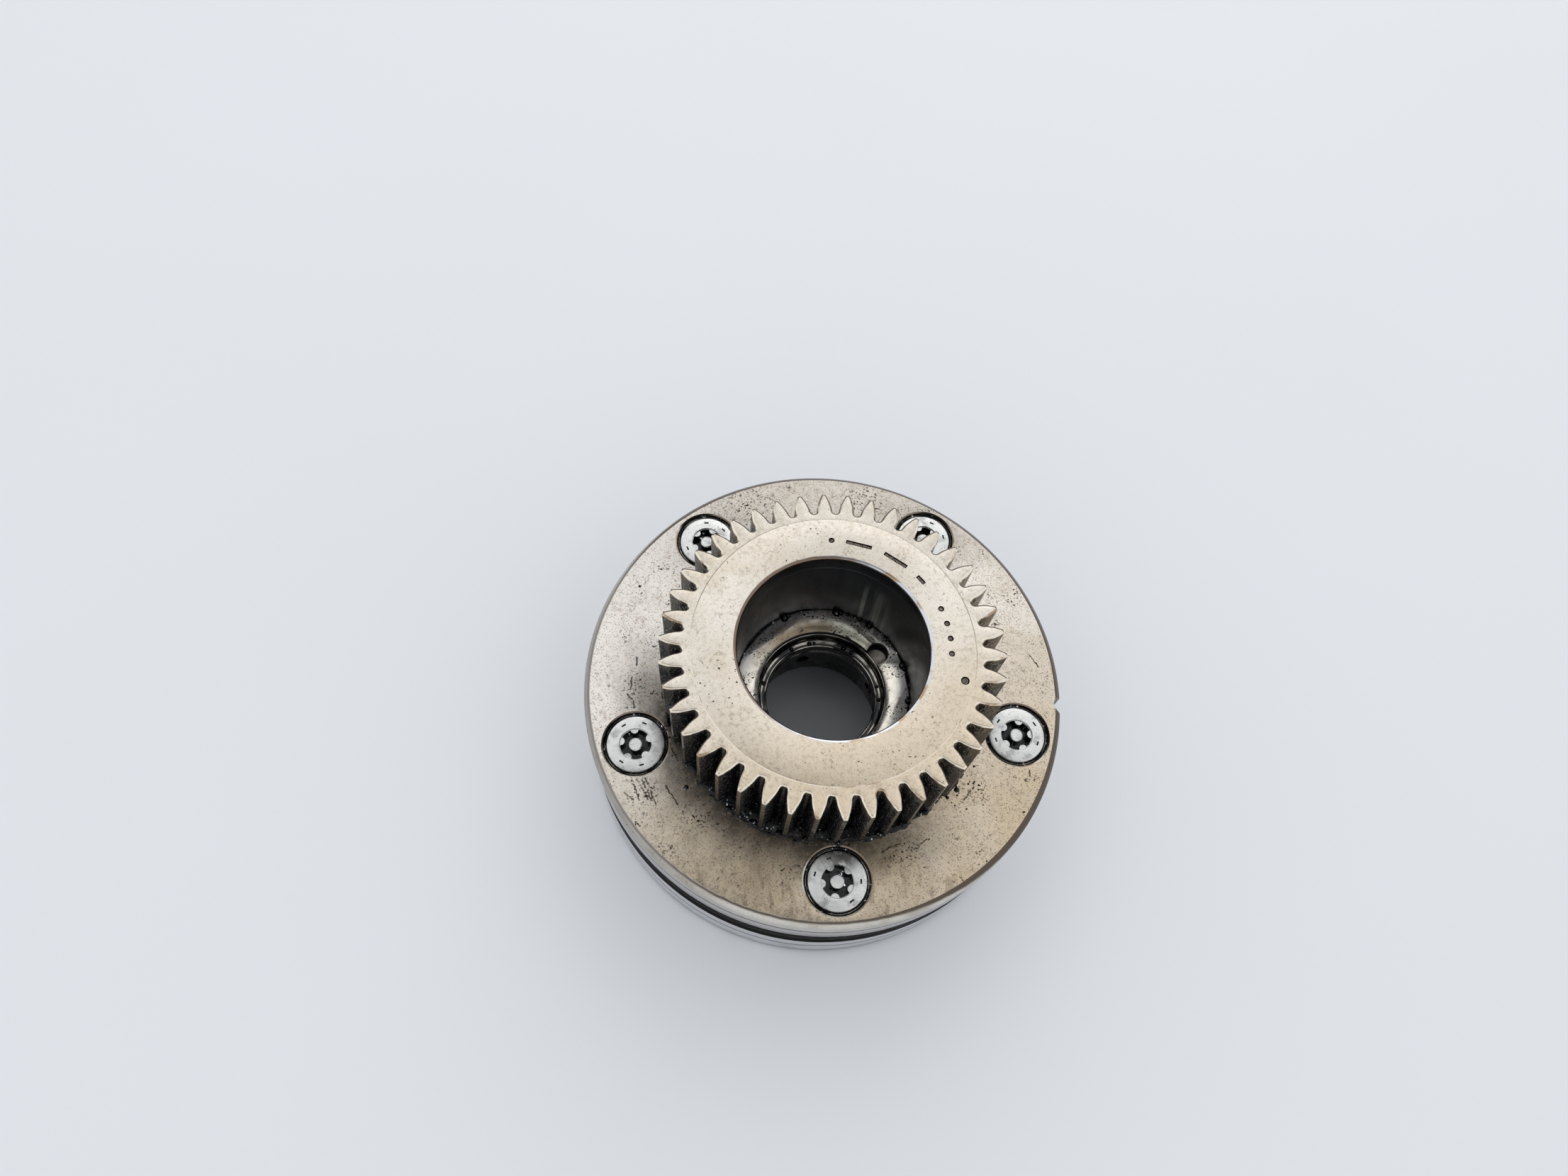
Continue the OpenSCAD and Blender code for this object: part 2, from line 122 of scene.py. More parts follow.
# Cover screws
SCREWS = 5
FIRST_SCREW = math.radians(-90)
FIRST_SPIN = math.radians(42)
SPIN_STEP = math.radians(31.25)
SCREW_CIRCLE_R = 35.0
HEAD_R = 5.0
HEAD_TOP = FLANGE_Z - 0.15
HEAD_SEAT = HEAD_TOP - 2.7
HEAD_STEPS = 72
SHANK_R = 3.0
SHANK_END = 0.8
SHANK_POINT = 0.3
SHANK_POINT_R = 2.2
SHANK_STEPS = 24
THREAD_TOP = 12.0
THREAD_PITCH = 1.0
THREAD_DEPTH = 0.55 * THREAD_PITCH
RINGS_PER_TURN = 6
SOCKET_MOUTH_R = 2.75
SOCKET_MOUTH_DEPTH = 0.25
SOCKET_R = 2.64
RIB_R = 0.715
SOCKET_DEPTH = 1.7
GUARD_PIN_R = 1.15
GUARD_PIN_DROP = 0.15
COUNTERBORE_R = 5.65
COUNTERBORE_BREAK = 0.22
SHANK_HOLE_R = 3.2
# Ticks on the heads: angles in degrees, and half length, half width and depth from the edge to the floor
TICK_R = 3.9
TICKS = (119, 66, -45, -99)
TICK_PROFILE = ((0.40, 0.15, 0.0), (0.34, 0.10, 0.16))

# Rotor
LAND_TOP = ROTOR_TOP - 4.2
LAND_R = 10.15
DOWEL_CIRCLE_R = 12.75
DOWEL_ANGLE = math.radians(33)

# Stator
GROOVE_TOP = SPLIT_Z - 5.0
GROOVE_FOOT = GROOVE_TOP - 7.1
GROOVE_R = BODY_R - 2.0

# Fine bevel on the copies of frame nodes
EDGE_BREAK = 0.06

# Oil at the gear's foot: its ends, and height and share of its reach from the outer edge to the inner one
FILM_START = math.radians(-172)
FILM_END = math.radians(-2)
FILM_INNER_R = ROOT_R - 0.2
FILM_STEPS = 420
FILM_PROFILE = ((0.0, 1.0), (0.05, 0.96), (0.12, 0.75), (0.16, 0.4), (0.16, 0.0), (0.0, 0.0))
# Larger drops there: distance from the axis, angle in degrees and radius
FOOT_DROPS = (
    (28.5, -118.5, 0.8), (28.5, -75, 0.8), (28.4, -66, 1.0), (28.5, -100, 0.7),
    (31.0, -142.8, 0.45), (28.5, -109, 0.7), (28.9, -89, 0.6), (28.8, -165, 0.6),
    (29.6, -43.6, 0.5), (28.6, -128, 0.6), (28.7, -57, 0.6), (28.6, -150, 0.5))
# Scattered drops: name, inner and outer radius, first and last angle, drops per square millimetre, largest
DROP_AREAS = (
    ("foot_drops", 28.2, 29.4, -170, -20, 1.2, 0.4),
    ("left_drops", 29.0, 31.0, -168, -140, 0.8, 0.2),
    ("right_drops", 29.2, 31.5, -50, -28, 0.9, 0.22),
)
SMALLEST_DROP = 0.05
DROP_FLATNESS = 0.6
FIRST_SEED = 3

# Oil line at the foot of the bore: height and inset
BORE_FILM = ((0.0, 0.02), (0.30, 0.02), (0.10, 0.10), (0.0, 0.30))
# Drops along that line and on the rotor's land: angle in degrees and radius
BORE_DROPS = (
    (113.7, 0.75), (111.0, 0.5), (77.1, 0.8), (74.0, 0.5), (69.0, 0.35), (64.0, 0.35), (60.5, 0.45),
    (56.0, 0.35), (52.5, 0.65), (37.9, 0.45), (15.9, 0.75), (13.5, 0.5), (-9.4, 0.65))
LAND_DROPS = ((117, 0.4), (98, 0.45), (93, 0.3), (63, 0.5), (54, 0.45), (164, 0.45), (10, 0.35), (-4, 0.4))
# Beads of oil on the rotor's inner edges: distance from the axis, height and radius
PILOT_BEADS = (
    (LAND_R + 0.2, LAND_TOP - 0.12, 0.26), (PILOT_R + 0.04, LAND_TOP + 2.3, 0.2),
    (LAND_R + 0.08, LAND_TOP - 2.2, 0.2))

# Scratches on the flange: X and Y of both ends, half width of the black line and of its fading edge
SCRATCHES = (
    (-34.1, 1.6, -34.2, -0.8), (-34.9, -1.9, -33.8, -2.9), (-33.8, -2.9, -33.7, -4.3),
    (-33.3, 5.1, -33.3, 3.5), (-31.6, -16.9, -29.8, -21.3), (-33.0, -17.0, -31.1, -20.5),
    (-28.0, -18.4, -26.1, -21.6), (-27.1, -11.8, -26.1, -14.1), (-35.0, -19.4, -33.5, -20.6),
    (37.6, 4.2, 38.9, 1.8), (12.8, -30.0, 15.9, -28.6), (7.7, -30.5, 10.8, -29.2),
    (22.6, -22.1, 24.4, -20.0), (34.5, -17.3, 34.5, -18.4), (-32.1, -17.2, -30.7, -20.3),
    (-33.9, -16.9, -32.5, -20.7),
)
SCRATCH_LINE = 0.07
SCRATCH_FADE = 0.2
SCRATCH_WAVER = 0.7
# Where specks of dirt gather on the flange: X, Y and the reach
DIRTY_SPOTS = (
    (12, -30.5, 4), (25, -20.5, 4), (-23, -23.5, 5), (-32, -19.5, 5), (-33.5, 0, 4), (-12, 35, 9),
    (10, 36, 7))


def polar(r, angle, z):
    return (r * math.cos(angle), r * math.sin(angle), z)


def circle(r, z, steps, centre=(0.0, 0.0), first=0.0):
    """Points of a level circle, counterclockwise from above."""
    turn = 2 * math.pi / steps
    return [
        (centre[0] + r * math.cos(first + i * turn), centre[1] + r * math.sin(first + i * turn), z)
        for i in range(steps)
    ]


def circles(profile, steps, centre=(0.0, 0.0), first=0.0):
    """A level circle for each radius and height of a profile."""
    return [circle(r, z, steps, centre, first) for r, z in profile]


def encloses(loop, point):
    """Whether a closed flat line goes round a point."""
    inside = False
    for a, b in zip(loop, loop[1:] + loop[:1]):
        if (a.y > point.y) != (b.y > point.y):
            inside ^= point.x < a.x + (b.x - a.x) * (point.y - a.y) / (b.y - a.y)
    return inside


class Shell:
    """Collects rings of points, bands between them and flat fills, and makes one mesh of them."""

    def __init__(self):
        self.points = []
        self.faces = []
        self.looks = []

    def ring(self, points):
        first = len(self.points)
        self.points += points
        return list(range(first, len(self.points)))

    def add(self, corners, look):
        self.faces.append(corners)
        self.looks.append(look)

    def strip(self, lower, upper, look=0):
        """Four-sided faces between two open rows; from outside, lower runs to the right below upper."""
        for i in range(len(lower) - 1):
            self.add((lower[i], lower[i + 1], upper[i + 1], upper[i]), look)

    def band(self, lower, upper, look=0):
        self.strip(lower + lower[:1], upper + upper[:1], look)

    def chain(self, rings, looks):
        """Bands along a profile of rings, with one look for each; returns the rings' indices."""
        rows = [self.ring(points) for points in rings]
        for lower, upper, look in zip(rows, rows[1:], looks):
            self.band(lower, upper, look)
        return rows

    def hoop(self, rings, look=0):
        """A closed hoop from the rings around its profile."""
        rows = self.chain(rings, [look] * (len(rings) - 1))
        self.band(rows[-1], rows[0], look)

    def fill(self, outer, holes=(), look=0, up=True):
        """Level face inside one closed row and outside others."""
        loops = [outer, *holes]
        ids = [i for loop in loops for i in loop]
        owner = [k for k, loop in enumerate(loops) for _ in loop]
        flat = [Vector(self.points[i][:2]) for i in ids]
        edges = []
        for loop in loops:
            first = len(edges)
            edges += [(first + i, first + (i + 1) % len(loop)) for i in range(len(loop))]
        _, _, triangles, sources, _, _ = delaunay_2d_cdt(flat, edges, [], 1, 1e-7)
        for triangle in triangles:
            corners = [sources[i][0] for i in triangle]
            owners = {owner[i] for i in corners}
            centre = sum((flat[i] for i in corners), Vector((0, 0))) / 3
            if len(owners) == 1 and 0 not in owners:
                hole = [flat[i] for i in range(len(flat)) if owner[i] in owners]
                if encloses(hole, centre):
                    continue
            corners = [ids[i] for i in corners]
            self.add(corners if up else corners[::-1], look)

    def mesh(self, name, materials):
        mesh = bpy.data.meshes.new(name)
        mesh.from_pydata([Vector(point) * MM for point in self.points], [], self.faces)
        for material in materials:
            mesh.materials.append(material)
        mesh.polygons.foreach_set("material_index", self.looks)
        return mesh


def new_object(name, mesh):
    obj = bpy.data.objects.new(name, mesh)
    bpy.context.scene.collection.objects.link(obj)
    return obj


def weld(mesh, flat=None):
    """Joins a mesh at its seams and, up to an angle in degrees, its triangles to whole faces."""
    work = bmesh.new()
    work.from_mesh(mesh)
    bmesh.ops.remove_doubles(work, verts=work.verts, dist=WELD)
    if flat:
        bmesh.ops.dissolve_limit(work, angle_limit=math.radians(flat), verts=work.verts, edges=work.edges)
    work.to_mesh(mesh)
    work.free()


def settle(obj, sharp=28):
    """Welds a piece and shades it smooth up to an angle in degrees; level faces stay flat."""
    weld(obj.data)
    obj.data.shade_smooth()
    for face in obj.data.polygons:
        face.use_smooth = abs(face.normal.z) < 0.9999
    obj.data.set_sharp_from_angle(angle=math.radians(sharp))
    return obj


def joined(first, second):
    """Makes one object of two, with the materials of both."""
    with bpy.context.temp_override(active_object=first, selected_editable_objects=[first, second]):
        bpy.ops.object.join()
    return first


def worked_out(obj, modifier):
    """Gives an object the plain mesh that its modifier makes, and removes the modifier."""
    depsgraph = bpy.context.evaluated_depsgraph_get()
    result = bpy.data.meshes.new_from_object(obj.evaluated_get(depsgraph))
    obj.modifiers.remove(modifier)
    obj.data = result
    return obj


class Nodes:
    """Short ways to add nodes to a tree and to join them. Colours are red, green and blue."""

    def __init__(self, tree):
        self.tree = tree

    def add(self, kind, inputs=None, **settings):
        node = self.tree.nodes.new(kind)
        for key, value in settings.items():
            setattr(node, key, value)
        for key, value in (inputs or {}).items():
            self.feed(node.inputs[key], value)
        return node

    def feed(self, socket, value):
        if isinstance(value, bpy.types.NodeSocket):
            self.tree.links.new(value, socket)
        elif socket.type == "RGBA":
            socket.default_value = (*value, 1)
        else:
            socket.default_value = value

    def maths(self, operation, first, second=0.0, third=0.0):
        return self.add("ShaderNodeMath", {0: first, 1: second, 2: third}, operation=operation).outputs[0]

    def vectors(self, operation, first, second):
        """A vector worked out from two others."""
        return self.add("ShaderNodeVectorMath", {0: first, 1: second}, operation=operation).outputs[0]

    def measure(self, operation, first, second=(0, 0, 0)):
        """A number worked out from one or two vectors."""
        return self.add("ShaderNodeVectorMath", {0: first, 1: second}, operation=operation).outputs[1]

    def both(self, first, second):
        return self.maths("MULTIPLY", first, second)

    def steps(self, value, low, high):
        """Smooth step from 0 at low to 1 at high."""
        inputs = {"Value": value, "From Min": low, "From Max": high}
        return self.add("ShaderNodeMapRange", inputs, interpolation_type="SMOOTHSTEP").outputs[0]


class Finish(Nodes):
    """A material with one Principled shader, and the patterns that the finishes share, in millimetres."""

    def __init__(self, name, metallic=1.0, roughness=0.4):
        self.material = bpy.data.materials.new(name)
        self.material.use_nodes = True
        super().__init__(self.material.node_tree)
        self.shader = self.tree.nodes["Principled BSDF"]
        self.set("Metallic", metallic)
        self.set("Roughness", roughness)
        self.place = self.add("ShaderNodeTexCoord").outputs["Object"]

    def set(self, socket, value):
        self.feed(self.shader.inputs[socket], value)

    def noise(self, size, detail, stretch=None, output="Fac"):
        """Noise with features of about a size; stretch squeezes it along X, Y and Z."""
        place = self.vectors("MULTIPLY", self.place, stretch) if stretch else self.place
        inputs = {"Vector": place, "Scale": 1 / (size * MM), "Detail": detail}
        return self.add("ShaderNodeTexNoise", inputs).outputs[output]

    def patches(self, size, detail, low, high, stretch=None):
        """Soft-edged patches where noise rises from low to high."""
        return self.steps(self.noise(size, detail, stretch), low, high)

    def uneven(self, size, detail, low, high, stretch=None):
        """A number that noise spreads between low and high."""
        noise = self.noise(size, detail, stretch)
        inputs = {"Value": noise, "From Min": 0.3, "From Max": 0.7, "To Min": low, "To Max": high}
        return self.add("ShaderNodeMapRange", inputs).outputs[0]

    def ragged(self, value, amount, size, detail, stretch=None):
        """A distance with noise added to it."""
        return self.maths("ADD", value, self.both(self.noise(size, detail, stretch), amount))

    def mix(self, amount, first, second):
        return self.add("ShaderNodeMix", {0: amount, 6: first, 7: second}, data_type="RGBA").outputs[2]

    def opposite(self, amount):
        return self.maths("SUBTRACT", 1, amount)

    def either(self, first, second):
        return self.maths("MAXIMUM", first, second)

    def radius(self):
        flat = self.vectors("MULTIPLY", self.place, (1, 1, 0))
        return self.maths("DIVIDE", self.measure("LENGTH", flat), MM)

    def height(self):
        return self.maths("DIVIDE", self.add("ShaderNodeSeparateXYZ", {0: self.place}).outputs[2], MM)

    def above(self, low, high):
        """0 below one height and 1 above another."""
        return self.steps(self.height(), low, high)

    def below(self, low, high):
        return self.opposite(self.above(low, high))

    def towards(self, degrees):
        """Distance from the axis along a level direction."""
        turn = math.radians(degrees)
        return self.measure("DOT_PRODUCT", self.place, (math.cos(turn) / MM, math.sin(turn) / MM, 0))

    def side(self, degrees, low, high, amount=1.0):
        """Rises from 0 to an amount between two distances from the axis along a level direction."""
        return self.both(self.steps(self.towards(degrees), low, high), amount)

    def facing(self, degrees):
        """How much the surface faces a level direction: 1 towards it, -1 away from it."""
        turn = math.radians(degrees)
        normal = self.add("ShaderNodeTexCoord").outputs["Normal"]
        return self.measure("DOT_PRODUCT", normal, (math.cos(turn), math.sin(turn), 0))

    def flat_place(self):
        return self.vectors("MULTIPLY", self.place, (1 / MM, 1 / MM, 0))

    def near(self, x, y, inner, outer):
        """1 around an upright line at X and Y, fading out between two distances from it."""
        away = self.measure("DISTANCE", self.flat_place(), (x, y, 0))
        return self.opposite(self.steps(away, inner, outer))

    def grain(self, height, strength, depth):
        """Bump from a height pattern."""
        inputs = {"Height": height, "Strength": strength, "Distance": depth * MM}
        self.set("Normal", self.add("ShaderNodeBump", inputs).outputs[0])


WET_BLACK = (0.003, 0.003, 0.0035)
BRIGHT_STEEL = (0.62, 0.63, 0.645)
# Noise squeezed to fine lines around the axis, as a lathe leaves them
TURNED = (0.02, 0.02, 8)


def scratch_marks(m):
    """Thin ragged dark lines."""
    waver = m.noise(0.8, 2.0, output="Color")
    waver = m.vectors("MULTIPLY", waver, (SCRATCH_WAVER, SCRATCH_WAVER, 0))
    flat = m.vectors("ADD", m.flat_place(), waver)
    marks = 0.0
    for x, y, end_x, end_y in SCRATCHES:
        run = Vector((end_x - x, end_y - y, 0))
        start = (x + SCRATCH_WAVER / 2, y + SCRATCH_WAVER / 2, 0)
        out = m.vectors("SUBTRACT", flat, start)
        share = m.measure("DOT_PRODUCT", out, run / run.length_squared)
        share = m.add("ShaderNodeClamp", {0: share}).outputs[0]
        foot = m.add("ShaderNodeVectorMath", {0: run, "Scale": share}, operation="SCALE").outputs[0]
        away = m.measure("DISTANCE", out, foot)
        marks = m.either(marks, m.opposite(m.steps(away, SCRATCH_LINE, SCRATCH_FADE)))
    return m.both(marks, m.patches(0.7, 2, 0.32, 0.48))


def dirt_marks(m, on_flange):
    """Pattern of dirt on a worn face: fine pores, specks that gather in places, scratches on the flange."""
    gathered = m.patches(5, 4, 0.50, 0.68)
    for x, y, reach in DIRTY_SPOTS:
        gathered = m.either(gathered, m.both(on_flange, m.near(x, y, reach * 0.2, reach)))
    specks = m.both(m.patches(0.42, 2, 0.57, 0.64), gathered)
    specks = m.both(specks, m.maths("MULTIPLY_ADD", on_flange, 0.65, 0.35))
    few = m.both(m.patches(0.5, 1, 0.70, 0.74), m.uneven(14, 1, 0.0, 1.0))
    pores = m.both(m.patches(0.24, 1, 0.55, 0.70), m.maths("MULTIPLY_ADD", on_flange, 0.3, 0.22))
    marks = m.either(m.either(specks, few), pores)
    return m.either(marks, m.both(m.both(scratch_marks(m), on_flange), 0.9))


def tempered_gear(m, patches):
    """Pale worn tone of the gear's faces, greyer at the back as painted shade and browner in front, partly
    tint and partly painted shade.
    """
    pale = (0.84, 0.78, 0.69)
    worn = (0.74, 0.655, 0.53)
    grey = (0.66, 0.60, 0.52)
    brown = (0.77, 0.64, 0.47)
    tone = m.mix(patches, pale, worn)
    # Painted shade: greyer at the back, and darker and browner in front
    tone = m.mix(m.side(80, 6, 24, 0.85), tone, grey)
    return m.mix(m.side(-80, -6, 26, 0.85), tone, brown)


def tempered_flange(m, patches):
    """Greyer tone of the flange with painted light and shade: dull at the back as painted shade, pale on the
    left as painted light, brown in front partly as tint and partly as painted shade, and black by the gear as
    an oil stain with painted shade.
    """
    pale = (0.83, 0.775, 0.705)
    worn = (0.73, 0.655, 0.555)
    dull = (0.44, 0.40, 0.35)
    light = (0.93, 0.885, 0.83)
    brown = (0.645, 0.52, 0.36)
    black = (0.045, 0.037, 0.028)
    tone = m.mix(patches, pale, worn)
    # Painted shade: duller at the back
    tone = m.mix(m.side(95, 10, 32, 0.9), tone, dull)
    # Painted light: paler on the left
    tone = m.mix(m.side(175, 14, 38, 0.6), tone, light)
    # Brown in front: partly tint, partly painted shade
    tone = m.mix(m.both(m.side(-75, -12, 32), m.uneven(9, 3, 0.65, 1.0)), tone, brown)
    # Black by the gear's foot in front: an oil stain together with a painted shade of the gear
    reach = m.ragged(m.radius(), 5, 4, 4, (1.4, 0.7, 1))
    stain_and_painted_shade = m.both(m.opposite(m.steps(reach, 31, 42)), m.side(-124, 5, 22))
    return m.mix(m.both(stain_and_painted_shade, 0.95), tone, black)


def tempered_steel():
    """Faces of the front cover."""
    m = Finish("tempered_steel")
    streak = (0.20, 0.15, 0.095)
    mottled = (0.42, 0.34, 0.25)
    dirt = (0.022, 0.018, 0.014)
    on_flange = m.below(FLANGE_Z + 0.2, FLANGE_Z + 1)
    patches = m.patches(10, 4, 0.36, 0.70)
    tone = m.mix(on_flange, tempered_gear(m, patches), tempered_flange(m, patches))
    streaks = m.both(m.patches(0.9, 2, 0.52, 0.70, (1, 0.22, 1)), m.side(-90, 26, 38))
    tone = m.mix(m.both(m.both(streaks, on_flange), 0.45), tone, streak)
    mottle = m.both(m.patches(0.8, 4, 0.48, 0.68), m.uneven(6, 3, 0.05, 0.5))
    tone = m.mix(mottle, tone, mottled)
    m.set("Base Color", m.mix(dirt_marks(m, on_flange), tone, dirt))
    m.set("Roughness", m.uneven(0.9, 5, 0.28, 0.48))
    m.grain(m.noise(0.2, 3), 0.5, 0.03)
    return m.material


def worn_edge(name, highlight_way, pale, dark):
    """Edges with a painted highlight, bronze in patches, where they face one way, and dark where they face
    the other, painted shade in part.
    """
    m = Finish(name, roughness=0.24)
    bronze = (0.46, 0.33, 0.22)
    tinted_highlight = m.mix(m.patches(3.5, 3, 0.50, 0.66), pale, bronze)
    # Painted highlight where the edge faces one way; darker where it faces the other, painted shade in part
    facing = m.ragged(m.facing(highlight_way), 0.3, 2.5, 3)
    m.set("Base Color", m.mix(m.steps(facing, -0.1, 0.3), dark, tinted_highlight))
    m.grain(m.noise(0.3, 2), 0.2, 0.02)
    return m.material


def drops(m):
    """Height pattern of a surface wet with drops."""
    beads = m.patches(0.8, 1, 0.54, 0.68)
    return m.maths("ADD", m.both(beads, 0.7), m.both(m.noise(2.2, 2), 0.5))


def oily_flank():
    """Tooth flanks wet with black oil, dry and brown at the tips and, on the right, near the top, with bright
    specks painted in as glints.
    """
    m = Finish("oily_flank")
    steel = (0.17, 0.14, 0.11)
    oil = (0.006, 0.006, 0.0075)
    painted_glint = (0.50, 0.53, 0.58)
    level = m.maths("SUBTRACT", m.ragged(m.height(), 10, 2.5, 3), m.both(m.towards(-130), 0.16))
    wet = m.opposite(m.steps(level, FLANGE_Z + 15, FLANGE_Z + 22))
    tip = m.steps(m.radius(), TIP_R - 0.16, TIP_R - 0.04)
    tip = m.both(tip, m.above(FLANGE_Z + 0.6, FLANGE_Z + 2.5))
    wet = m.both(wet, m.opposite(m.both(tip, 0.9)))
    # Painted glints: bright metallic specks in patches
    painted_glint_specks = m.both(m.patches(0.6, 1, 0.71, 0.76), m.patches(4, 2, 0.45, 0.60))
    m.set("Base Color", m.mix(painted_glint_specks, m.mix(wet, steel, oil), painted_glint))
    m.set("Metallic", m.either(painted_glint_specks, m.opposite(wet)))
    m.set("Roughness", m.uneven(1.2, 4, 0.07, 0.26))
    m.set("Specular IOR Level", 0.6)
    m.grain(drops(m), 0.8, 0.3)
    return m.material


def bore_wall():
    """Bore under a dark film of oil, with faint turned lines and a few paler upright runs at the back right
    painted in as reflections.
    """
    m = Finish("bore_wall")
    film = (0.075, 0.075, 0.083)
    clear = (0.13, 0.13, 0.135)
    run = (0.46, 0.48, 0.45)
    tone = m.mix(m.patches(7, 3, 0.4, 0.7, (1, 1, 0.25)), film, clear)
    # Painted reflection: paler upright runs low on the wall at the back right
    x, y, _ = polar(BORE_R, math.radians(57), 0)
    runs = m.both(m.near(x, y, 1, 5), m.patches(1.2, 2, 0.46, 0.62, (1, 1, 0.04)))
    runs = m.both(runs, m.below(FACE_Z - 11, FACE_Z - 5))
    m.set("Base Color", m.mix(m.both(runs, 0.8), tone, run))
    m.set("Roughness", m.uneven(3, 4, 0.26, 0.38))
    m.grain(m.noise(3, 1, (0.02, 0.02, 18)), 0.06, 0.02)
    return m.material


def wet_steel():
    """Dark oil with paler metallic patches painted in as highlights, for beads and corners of oil."""
    m = Finish("wet_steel", roughness=0.1)
    film = (0.025, 0.025, 0.028)
    steel = (0.52, 0.48, 0.42)
    # Paler metallic patches: painted highlights on the oil
    m.set("Base Color", m.mix(m.patches(3.5, 2, 0.40, 0.62, (1, 1, 3)), film, steel))
    m.grain(drops(m), 0.25, 0.08)
    return m.material


def engine_oil():
    """Old black oil, wet, with bright metallic specks painted in as glints."""
    m = Finish("engine_oil", metallic=0.0)
    thick = (0.0022, 0.0022, 0.0026)
    thin = (0.010, 0.008, 0.006)
    painted_glint = (0.80, 0.84, 0.90)
    # Painted glints: bright metallic specks scattered in patches
    specks = m.both(m.patches(0.55, 1, 0.66, 0.71), m.patches(3, 2, 0.40, 0.52))
    tone = m.mix(m.patches(1.5, 2, 0.55, 0.8), thick, thin)
    m.set("Base Color", m.mix(specks, tone, painted_glint))
    m.set("Metallic", specks)
    m.set("Roughness", m.uneven(0.9, 2, 0.03, 0.10))
    m.set("Specular IOR Level", 0.35)
    m.grain(drops(m), 0.35, 0.12)
    return m.material


def matt_oil():
    """Thick dull black oil in the groove, wiped thin in a few places, kept dull so that it also paints the
    groove's shade.
    """
    m = Finish("matt_oil", metallic=0.0, roughness=0.45)
    thick = (0.004, 0.004, 0.0045)
    thin = (0.028, 0.025, 0.022)
    m.set("Base Color", m.mix(m.patches(2.4, 3, 0.56, 0.72, (1, 1, 2.5)), thick, thin))
    m.set("Specular IOR Level", 0.01)
    m.grain(drops(m), 0.3, 0.12)
    return m.material


def turned_rim():
    """Turned outside of the flange: pale steel, dark brown along its rounded edge, partly as painted shade,
    and all over on the right, with a painted highlight on the edge at the front left and painted shade on the
    left.
    """
    m = Finish("turned_rim")
    pale = (0.66, 0.63, 0.57)
    dull = (0.48, 0.44, 0.38)
    brown = (0.115, 0.09, 0.07)
    painted_edge_highlight = (0.86, 0.81, 0.72)
    shaded = (0.30, 0.28, 0.26)
    tone = m.mix(m.patches(6, 4, 0.45, 0.7), pale, dull)
    # Dark brown along the rounded edge: partly tint, partly painted shade, with more of it on the right
    out = m.ragged(m.maths("SUBTRACT", m.radius(), BODY_R - EDGE_ROUND), 0.2, 1.5, 3)
    browned = m.maths("SUBTRACT", out, m.side(35, -22, 18, 0.8))
    tone = m.mix(m.steps(browned, 0.36, 0.74), brown, tone)
    # Painted highlight along the top of the rounded edge at the front left
    tone = m.mix(m.both(m.opposite(m.steps(out, 0.12, 0.26)), m.side(-150, 10, 30)), tone, painted_edge_highlight)
    tone = m.mix(m.side(-172, 22, 40, 0.7), tone, shaded)
    pits = m.patches(0.4, 2, 0.68, 0.74)
    joint = m.below(SPLIT_Z + 0.35, SPLIT_Z + 0.5)
    m.set("Base Color", m.mix(m.either(pits, joint), tone, brown))
    m.set("Roughness", m.uneven(2, 3, 0.20, 0.34, (0.2, 0.2, 6)))
    m.grain(m.noise(1.5, 2, TURNED), 0.2, 0.02)
    return m.material


def stator_steel():
    """Turned ring: grey with a brown lower edge above its groove, which is black as wet oil and painted
    shade, and bright below the groove.
    """
    m = Finish("stator_steel")
    grey = (0.46, 0.42, 0.415)
    brown = (0.28, 0.235, 0.215)
    tone = m.mix(m.steps(m.ragged(m.height(), 1.6, 4, 3), GROOVE_TOP + 0.6, GROOVE_TOP + 2.6), brown, grey)
    tone = m.mix(m.above(GROOVE_FOOT, GROOVE_FOOT + 0.2), BRIGHT_STEEL, tone)
    over = m.above(GROOVE_TOP - 0.02, GROOVE_TOP + 0.06)
    under = m.below(GROOVE_FOOT - 0.10, GROOVE_FOOT - 0.04)
    # Black inside the groove: wet oil and painted shade
    inside = m.opposite(m.steps(m.radius(), GROOVE_R - 0.3, GROOVE_R - 0.2))
    steel = m.either(m.either(over, under), inside)
    joint = m.either(m.above(SPLIT_Z - 0.5, SPLIT_Z - 0.35), m.below(REAR_Z + 0.05, REAR_Z + 0.15))
    steel = m.both(steel, m.opposite(joint))
    m.set("Base Color", m.mix(steel, WET_BLACK, tone))
    m.set("Metallic", steel)
    m.set("Roughness", m.uneven(2, 3, 0.12, 0.28, (0.2, 0.2, 4)))
    m.grain(m.noise(1.5, 2, TURNED), 0.15, 0.02)
    return m.material


def ground_steel():
    """Bright rear cover with fine lines around its outside, a dark joint line along its top edge and a
    painted contact shadow along its foot, higher at the front right.
    """
    m = Finish("ground_steel")
    dull = (0.44, 0.44, 0.44)
    dirt = (0.03, 0.027, 0.025)
    tone = m.mix(m.both(m.patches(5, 4, 0.5, 0.7), 0.8), BRIGHT_STEEL, dull)
    # Painted contact shadow along the foot, rising at the front right, and a dark joint line at the top
    level = m.maths("SUBTRACT", m.height(), m.side(-70, 34, 41, 0.7))
    joint_line_and_contact_shadow = m.either(m.opposite(m.steps(level, 0.3, 0.6)), m.above(REAR_Z - 0.35, REAR_Z - 0.2))
    joint_line_and_contact_shadow = m.both(joint_line_and_contact_shadow, m.steps(m.radius(), BODY_R - 2, BODY_R - 1))
    m.set("Base Color", m.mix(m.both(joint_line_and_contact_shadow, 0.9), tone, dirt))
    m.set("Roughness", m.uneven(3, 4, 0.12, 0.26))
    m.grain(m.noise(1.5, 2, TURNED), 0.12, 0.02)
    return m.material


